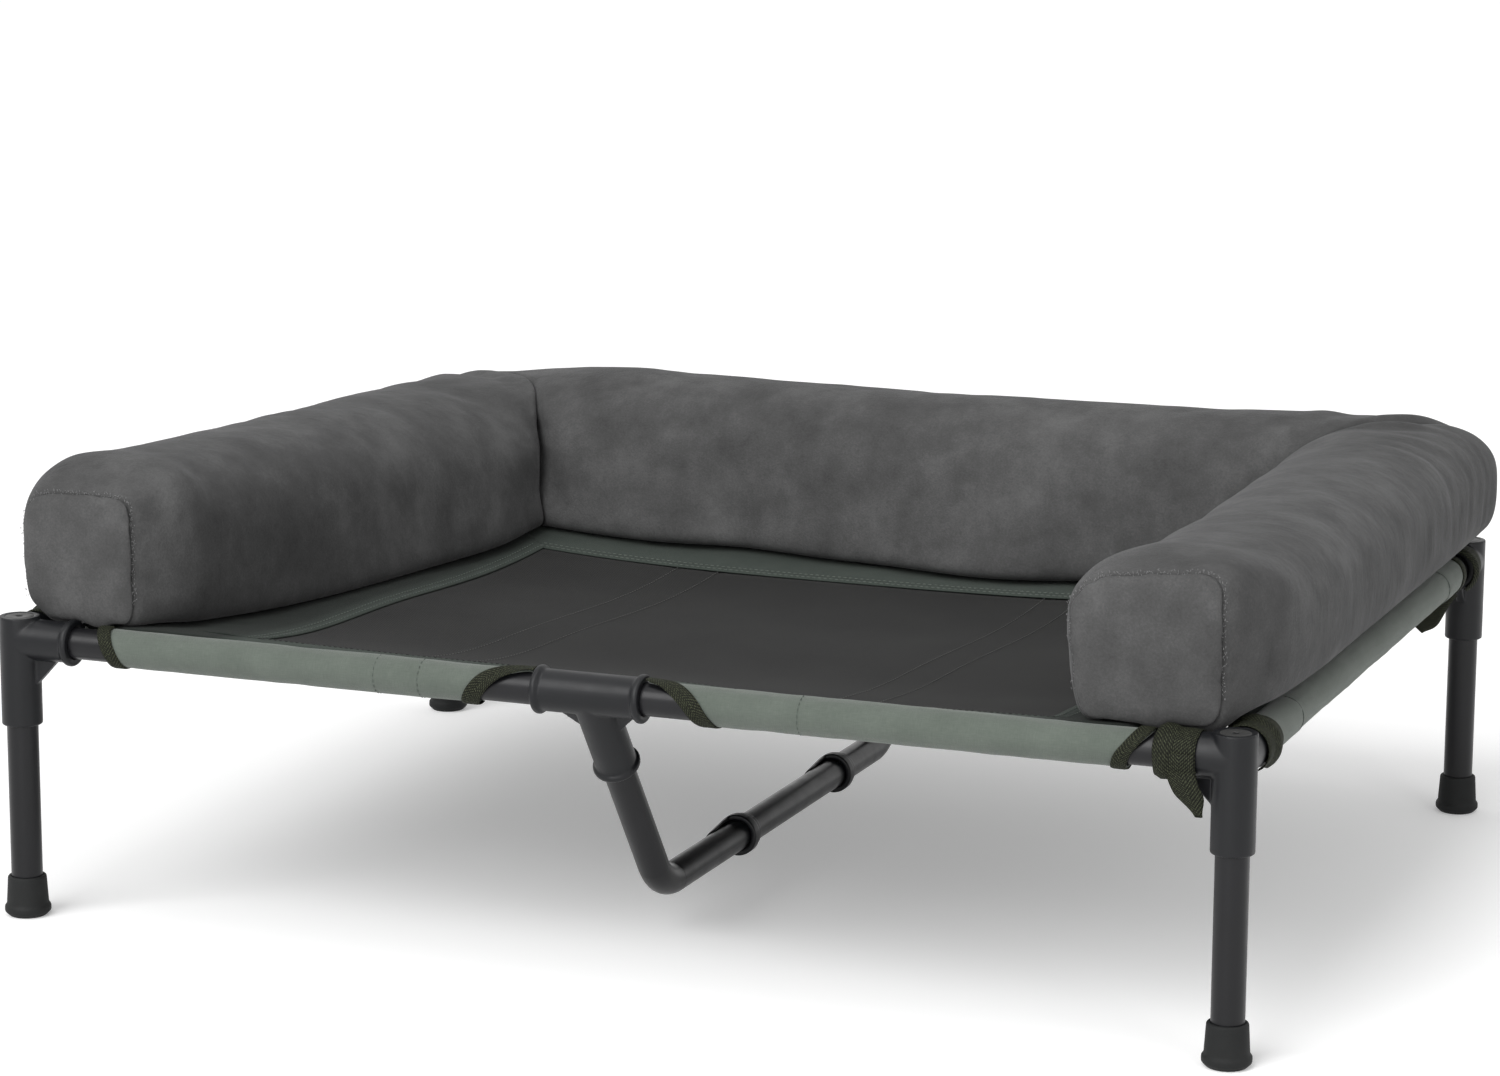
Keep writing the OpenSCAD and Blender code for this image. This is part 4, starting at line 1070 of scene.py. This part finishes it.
fill = {
    "frames": 22, "cap": 0.006, "keepBroad": 0.2, "gain": 0.26, "held": 0.007,
    "broad": 9, "fineRows": 1.7, "fineCols": 1.3,  # reach of the averages, in points
}
stuffing = {
    "quality": 5, "mass": 0.2, "tension_stiffness": 12, "compression_stiffness": 12, "shear_stiffness": 6,
    "bending_stiffness": 0.8, "use_pressure": True, "uniform_pressure_force": 3.0, "shrink_min": -0.025,
    "vertex_group_mass": "held", "pin_stiffness": 1,
}


def aboveSling(grid):
    return grid[..., 2] - (deck(grid[..., 0], grid[..., 1]) + bolster["lift"])


def stuff(pieces):  # pieces: (object, grid); gives how far each grid point moved
    for obj, grid in pieces:
        held = aboveSling(grid) < fill["held"]
        held[0] = held[-1] = True
        ids = [int(k) for k in np.flatnonzero(held.ravel())] + list(range(held.size, len(obj.data.vertices)))
        obj.vertex_groups.new(name="held").add(ids, 1.0, "REPLACE")
        mod = obj.modifiers.new("stuffing", "CLOTH")
        for key, value in stuffing.items():
            setattr(mod.settings, key, value)
        mod.settings.effector_weights.gravity = 0
        mod.collision_settings.use_collision = False
        mod.collision_settings.use_self_collision = False
        mod.point_cache.frame_start = 1
        mod.point_cache.frame_end = fill["frames"]
    for f in range(1, fill["frames"] + 1):
        scene.frame_set(f)
    moves = []
    graph = bpy.context.evaluated_depsgraph_get()
    for obj, grid in pieces:
        mesh = obj.evaluated_get(graph).to_mesh()
        co = np.empty(len(mesh.vertices) * 3)
        mesh.vertices.foreach_get("co", co)
        moves.append(co[:grid.size].reshape(grid.shape) - grid)
    scene.frame_set(1)
    for obj, grid in pieces:
        bpy.data.objects.remove(obj)
    return moves


def outwardNormals(grid):
    n = gridNormals(grid, True)
    return -n if np.sum(n * (grid - grid.mean(axis=1, keepdims=True))) < 0 else n


folds = {
    "panelSeam": 0.001, "gather": 0.0012, "seamDepth": {-1: 0.0055, 1: 0.0045},
    "seamReach": {-1: 0.007, 1: 0.011}, "seamEased": 0.0042, "pucker": 0.0007,
    "ridge": 0.0009, "groove": 0.0026, "fan": 0.0028, "fanAt": (0.318, 0.212),
    "creases": ((0.092, 0.7), (0.15, 0.5), (0.178, 1.0), (0.205, 0.7),
                (0.235, 1.0), (0.262, 0.6), (0.285, 0.8)),
}


def gathers(count, run, pitch, level, seed):  # bumps round a ring of points
    ring = np.linspace(0, 1, count, endpoint=False)[None]
    return waver(np.stack(np.broadcast_arrays(ring * run, 0 * ring, 0 * ring + level), -1), pitch, seed)


def caseFolds(grid, side):  # seams, gathers and creases, as heights over the surface
    f, b = folds, bolster
    x, y, z = grid[..., 0], grid[..., 1], grid[..., 2]
    above = aboveSling(grid)
    left = x < 0
    h = 0.0009 * waver(grid, 0.045, 61 + side) + 0.0004 * waver(grid, 0.016, 67 + side)
    if side:
        along = np.linalg.norm(grid - grid[:1], axis=-1)
        h -= f["panelSeam"] * bell(along, 0.004)  # the seam round the end panel
        h += f["gather"] * gathers(grid.shape[1], 0.42, 0.0075, side, 71) * np.exp(-along / 0.012)
    slope = 1 + np.where(left, b["widen"][-1], b["widen"][1]) / b["width"]
    toSeam = np.abs(np.abs(x) - (b["x"] - (b["y"] - y) * slope)) / np.hypot(1, slope)
    onTop = smoothStep(above, 0.07, 0.1)
    deep = np.where(left, f["seamDepth"][-1] - f["seamEased"] * onTop, f["seamDepth"][1])
    wide = np.where(left, f["seamReach"][-1], f["seamReach"][1])
    h -= deep * bell(toSeam, wide)  # the corner seams draw in
    h += f["pucker"] * np.sin(z * 520 + 3 * waver(grid, 0.012, 79)) * bell(toSeam, 0.012) * left
    bend = smoothStep(x, 0.385, 0.425) * (0.65 + 0.35 * waver(grid, 0.03, 85))
    wander = y + 0.006 * waver(grid * (1, 0.2, 1), 0.03, 83)
    for place, strength in f["creases"]:  # across the right arm's outer side
        off = np.abs(wander - place)
        h += strength * bend * (f["ridge"] * bell(off, 0.010) - f["groove"] * bell(off, 0.0042))
    dx, dy = x - f["fanAt"][0], y - f["fanAt"][1]  # creases that fan out from the right rear corner
    angle, reach = np.arctan2(dy, dx), np.hypot(dx, dy)
    spot = np.stack([angle * 0.1, reach * 0.25, z * 0.25], -1)
    crease = np.sin(angle * 13 + 2.6 * waver(spot, 0.02, 81) + 8 * (z - 0.25))
    window = bell(angle - 0.85, 0.6) * smoothStep(reach, 0.02, 0.09) * (x > 0.2) * (y > 0.1)
    h += f["fan"] * crease * window * (1 - smoothStep(x, 0.4, 0.43))
    return h * smoothStep(above, 0.008, 0.03)


def makeBolster():
    b = bolster
    arms = {side: np.stack([armRing(s, side) for s in np.linspace(0, 1, b["armRows"])]) for side in (-1, 1)}
    back = np.stack([backRing(s) for s in np.linspace(0, 1, b["backRows"])])
    cases = [("bolsterArm_" + hand, "bolster_" + hand, arms[side], side) for side, hand in hands]
    cases.append(("bolsterBack", "bolster_back", back, 0))
    moves = [np.zeros_like(grid) for _, _, grid, _ in cases]
    moves = stuff([(caseMesh(name + "Case", grid), grid) for name, _, grid, _ in cases])
    print("cushions filled")
    made = {}
    for (name, node, grid, side), move in zip(cases, moves):
        broad = blur(move, fill["broad"], fill["broad"])
        fine = blur(move, fill["fineRows"], fill["fineCols"]) - broad
        move = fill["gain"] * fine + fill["keepBroad"] * broad
        size = np.linalg.norm(move, axis=-1, keepdims=True)
        move *= np.minimum(1, fill["cap"] / np.maximum(size, 1e-9))
        moved = grid + move + outwardNormals(grid) * caseFolds(grid, side)[..., None]
        low = np.minimum(slingHeight(moved[..., 0], moved[..., 1]) + 0.0006, grid[..., 2] + 0.001)
        moved[..., 2] = np.maximum(moved[..., 2], low)  # flat where it lies on the sling
        piece = assign(subdivide(caseMesh(name, moved)), "bolster", "plush", node)
        made[side] = moved
    return made


cases = makeBolster()


panel = {  # shares are its rings, from the rim inwards
    "shares": (0.999, 0.985, 0.96, 0.925, 0.88, 0.82, 0.75, 0.67, 0.58, 0.48, 0.38, 0.28, 0.18, 0.09),
    "gap": 0.0004, "rearGap": 0.0003, "rim": 14, "roll": 6, "full": 0.55, "soft": 7,
    "gather": 0.0009, "gatherReach": 0.09, "bumps": 0.0008,
}


def endPanel(side, hand):
    front = bolster["armFront"]
    ring = cases[side][0]
    n = len(ring)
    middle = ring.mean(axis=0)
    soft = blur(ring[None], 1, panel["soft"])[0]
    shares = np.array(panel["shares"])
    rows = []
    for share in shares:
        even = share ** panel["rim"]  # only the rim keeps the bumps of what lies below
        flat = middle + (ring * even + soft * (1 - even) - middle) * share
        flat[:, 1] = front - panel["gap"] - bolster["panelT"] * (1 - share ** panel["roll"]) ** panel["full"]
        rows.append(flat)
    grid = np.stack(rows)
    drawn = np.exp(-((1 - shares[:, None]) / panel["gatherReach"]))
    grid[..., 1] -= panel["gather"] * gathers(n, 0.4, 0.008, 3 * side, 91) * drawn
    grid[..., 1] -= panel["bumps"] * waver(grid, 0.03, 93 + side)
    rear = np.concatenate([middle + (ring - middle) * 0.5, middle[None]])
    rear[:, 1] = front - panel["rearGap"]
    centre = middle * (1, 0, 1) + (0, grid[-1, :, 1].mean(), 0)
    verts = np.concatenate([grid.reshape(-1, 3), centre[None], rear])
    count = len(shares)
    faces = ringFaces(count, n)
    hub, inner, last = count * n, count * n + 1, count * n + 1 + n
    for j in range(n):
        k = (j + 1) % n
        faces += [(hub - n + j, hub - n + k, hub), (k, j, inner + j, inner + k), (inner + k, inner + j, last)]
    piece = subdivide(newPiece("bolsterPanel_" + hand, verts, faces, plushPile))
    assign(piece, "bolster", "plush", "bolster_end_" + hand)


for side, hand in hands:
    endPanel(side, hand)
print("bolster sewn up")


# a node tree lays a thread every pitch along each row; scattered ones stray from it and turn any way
def rowTree(name, floats, segments, rings, scattered):
    tree = bpy.data.node_groups.new(name, "GeometryNodeTree")
    sockets = {}
    kinds = [("Geometry", "Geometry")] + [(label, "Float") for label in floats]
    for label, kind in kinds + [("Seed", "Int"), ("Finish", "Material")]:
        item = tree.interface.new_socket(label, in_out="INPUT", socket_type="NodeSocket" + kind)
        sockets[label] = item.identifier
    tree.interface.new_socket("Geometry", in_out="OUTPUT", socket_type="NodeSocketGeometry")
    given = add(tree, "NodeGroupInput").outputs
    curve = add(tree, "GeometryNodeMeshToCurve", {0: given["Geometry"]}).outputs[0]
    steps = {"Curve": curve, "Length": given["Pitch"]}
    points = add(tree, "GeometryNodeResampleCurve", steps, mode="LENGTH").outputs[0]
    if scattered:
        draws = [add(tree, "FunctionNodeRandomValue", {0: (low,) * 3, 1: (high,) * 3, "Seed": given["Seed"]},
                     data_type="FLOAT_VECTOR").outputs[0] for low, high in ((-1, 1), (0, 6.28))]
        values = {0: draws[0], "Scale": given["Stray"]}
        far = add(tree, "ShaderNodeVectorMath", values, operation="SCALE").outputs[0]
        points = add(tree, "GeometryNodeSetPosition", {"Geometry": points, "Offset": far}).outputs[0]
        turn = draws[1]
    else:
        heading = add(tree, "GeometryNodeInputTangent").outputs[0]
        turn = add(tree, "FunctionNodeAlignRotationToVector", {"Vector": heading}, axis="X").outputs[0]
    ball = {"Segments": segments, "Rings": rings, "Radius": 0.5}
    bead = add(tree, "GeometryNodeMeshUVSphere", ball).outputs["Mesh"]
    lengths = {0: given["Length"], 1: given["Thread"], 2: given["Thread"]}
    size = add(tree, "ShaderNodeCombineXYZ", lengths).outputs[0]
    threads = {"Points": points, "Instance": bead, "Rotation": turn, "Scale": size}
    spread = add(tree, "GeometryNodeInstanceOnPoints", threads)
    real = add(tree, "GeometryNodeRealizeInstances", {0: spread.outputs[0]})
    paint = add(tree, "GeometryNodeSetMaterial", {"Geometry": real.outputs[0], "Material": given["Finish"]})
    add(tree, "NodeGroupOutput", {0: paint.outputs[0]})
    return tree, sockets


def layRows(name, rows, kind, values, finish, body, slot):  # each row is a line of points
    tree, sockets = kind
    verts, edges = [], []
    for row in rows:
        start = len(verts)
        verts += [tuple(p) for p in row]
        edges += [(start + i, start + i + 1) for i in range(len(row) - 1)]
    mesh = bpy.data.meshes.new(name)
    mesh.from_pydata(verts, edges, [])
    obj = placed(name, mesh)
    mod = obj.modifiers.new("rows", "NODES")
    mod.node_group = tree
    for label, value in values.items():
        mod[sockets[label]] = value
    mod[sockets["Finish"]] = finish
    settle(obj)
    obj.data.shade_smooth()
    assign(obj, body, slot)


def slingRow(x0, y0, x1, y1, above):
    x, y = np.linspace(x0, x1, 60), np.linspace(y0, y1, 60)
    return np.stack([x, y, slingHeight(x, y) + above], -1)


def sleeveRow(kind, side, at, first, last, above):  # round a sleeve, at a place along its rail
    place, outward = railFrame(kind, side)[:2]
    t = np.linspace(math.radians(first), math.radians(last), 30)
    r = cot["sleeveR"] + sleeve["slack"] * (1 - np.cos(t)) / 2 + above
    return place(np.full_like(t, at)) + around(outward, t) * r[:, None]


# pitch, length and thickness of each kind of stitch
stitch = {
    "hem": (0.0046, 0.0033, 0.0006), "sleeve": (0.0042, 0.003, 0.0007), "cuff": (0.0021, 0.0026, 0.0007),
}
seams = {"hem": (0.001, 0.008), "straps": (-0.145, -0.111, 0.156, 0.184), "sleeves": (-0.155, -0.122, 0.15)}
stitchRow = rowTree("stitchRow", ("Pitch", "Length", "Thread"), 6, 4, False)


def sew(name, rows, kind, finish, slot):
    values = dict(zip(("Pitch", "Length", "Thread"), stitch[kind]))
    layRows("stitchRows_" + name, rows, stitchRow, values, finish, "frame", slot)


def sewSling():
    left, right, front, rear = -cot["meshLeft"], cot["meshRight"], cot["meshFront"], cot["meshRear"]
    pale = []
    for inset in seams["hem"]:
        pale += [slingRow(x, front, x, rear, 0.0009) for x in (left - inset, right + inset)]
        pale.append(slingRow(left, rear + inset, right, rear + inset, 0.0009))
    dark = [slingRow(left, front - 0.001, right, front - 0.001, 0.0007)]
    over = [slingRow(x, front, x, rear, -0.0003) for x in seams["straps"]]
    across = [sleeveRow("end", -1, x, 5, 175, -0.0002) for x in seams["sleeves"]]
    cuffAt = sleeve["cuff"] - 0.0012
    cuffs = [sleeveRow("side", side, end * cuffAt, 5, 300, 0) for side in (-1, 1) for end in (-1, 1)]
    sew("pale", pale, "hem", paleThread, "canvas")
    sew("mesh", over, "hem", meshThread, "mesh")
    sew("sleeve", across, "sleeve", sleeveThread, "canvas")
    sew("cuff", cuffs, "cuff", sleeveThread, "canvas")
    sew("dark", dark, "sleeve", darkThread, "canvas")


sewSling()
print("stitches sewn")

lint = {"Pitch": 0.001, "Length": 0.0021, "Thread": 0.0004, "Stray": 0.0015, "Seed": 5}
seamLint = rowTree("seamLint", ("Pitch", "Length", "Thread", "Stray"), 4, 3, True)


def panelLint(side, hand):  # short fibres along a panel's seam
    ring = cases[side][0] - (0, 0.0008, 0)
    middle = ring.mean(axis=0)
    ring = middle + (ring - middle) * 1.004
    shown = ring[ring[:, 2] > middle[2] - 0.03]
    order = np.argsort(np.arctan2(shown[:, 0] - middle[0], shown[:, 2] - middle[2]))
    layRows("seamLint_" + hand, [shown[order]], seamLint, lint, lintFibre, "bolster", "plush")


for side, hand in hands:
    panelLint(side, hand)
print("seams brushed")
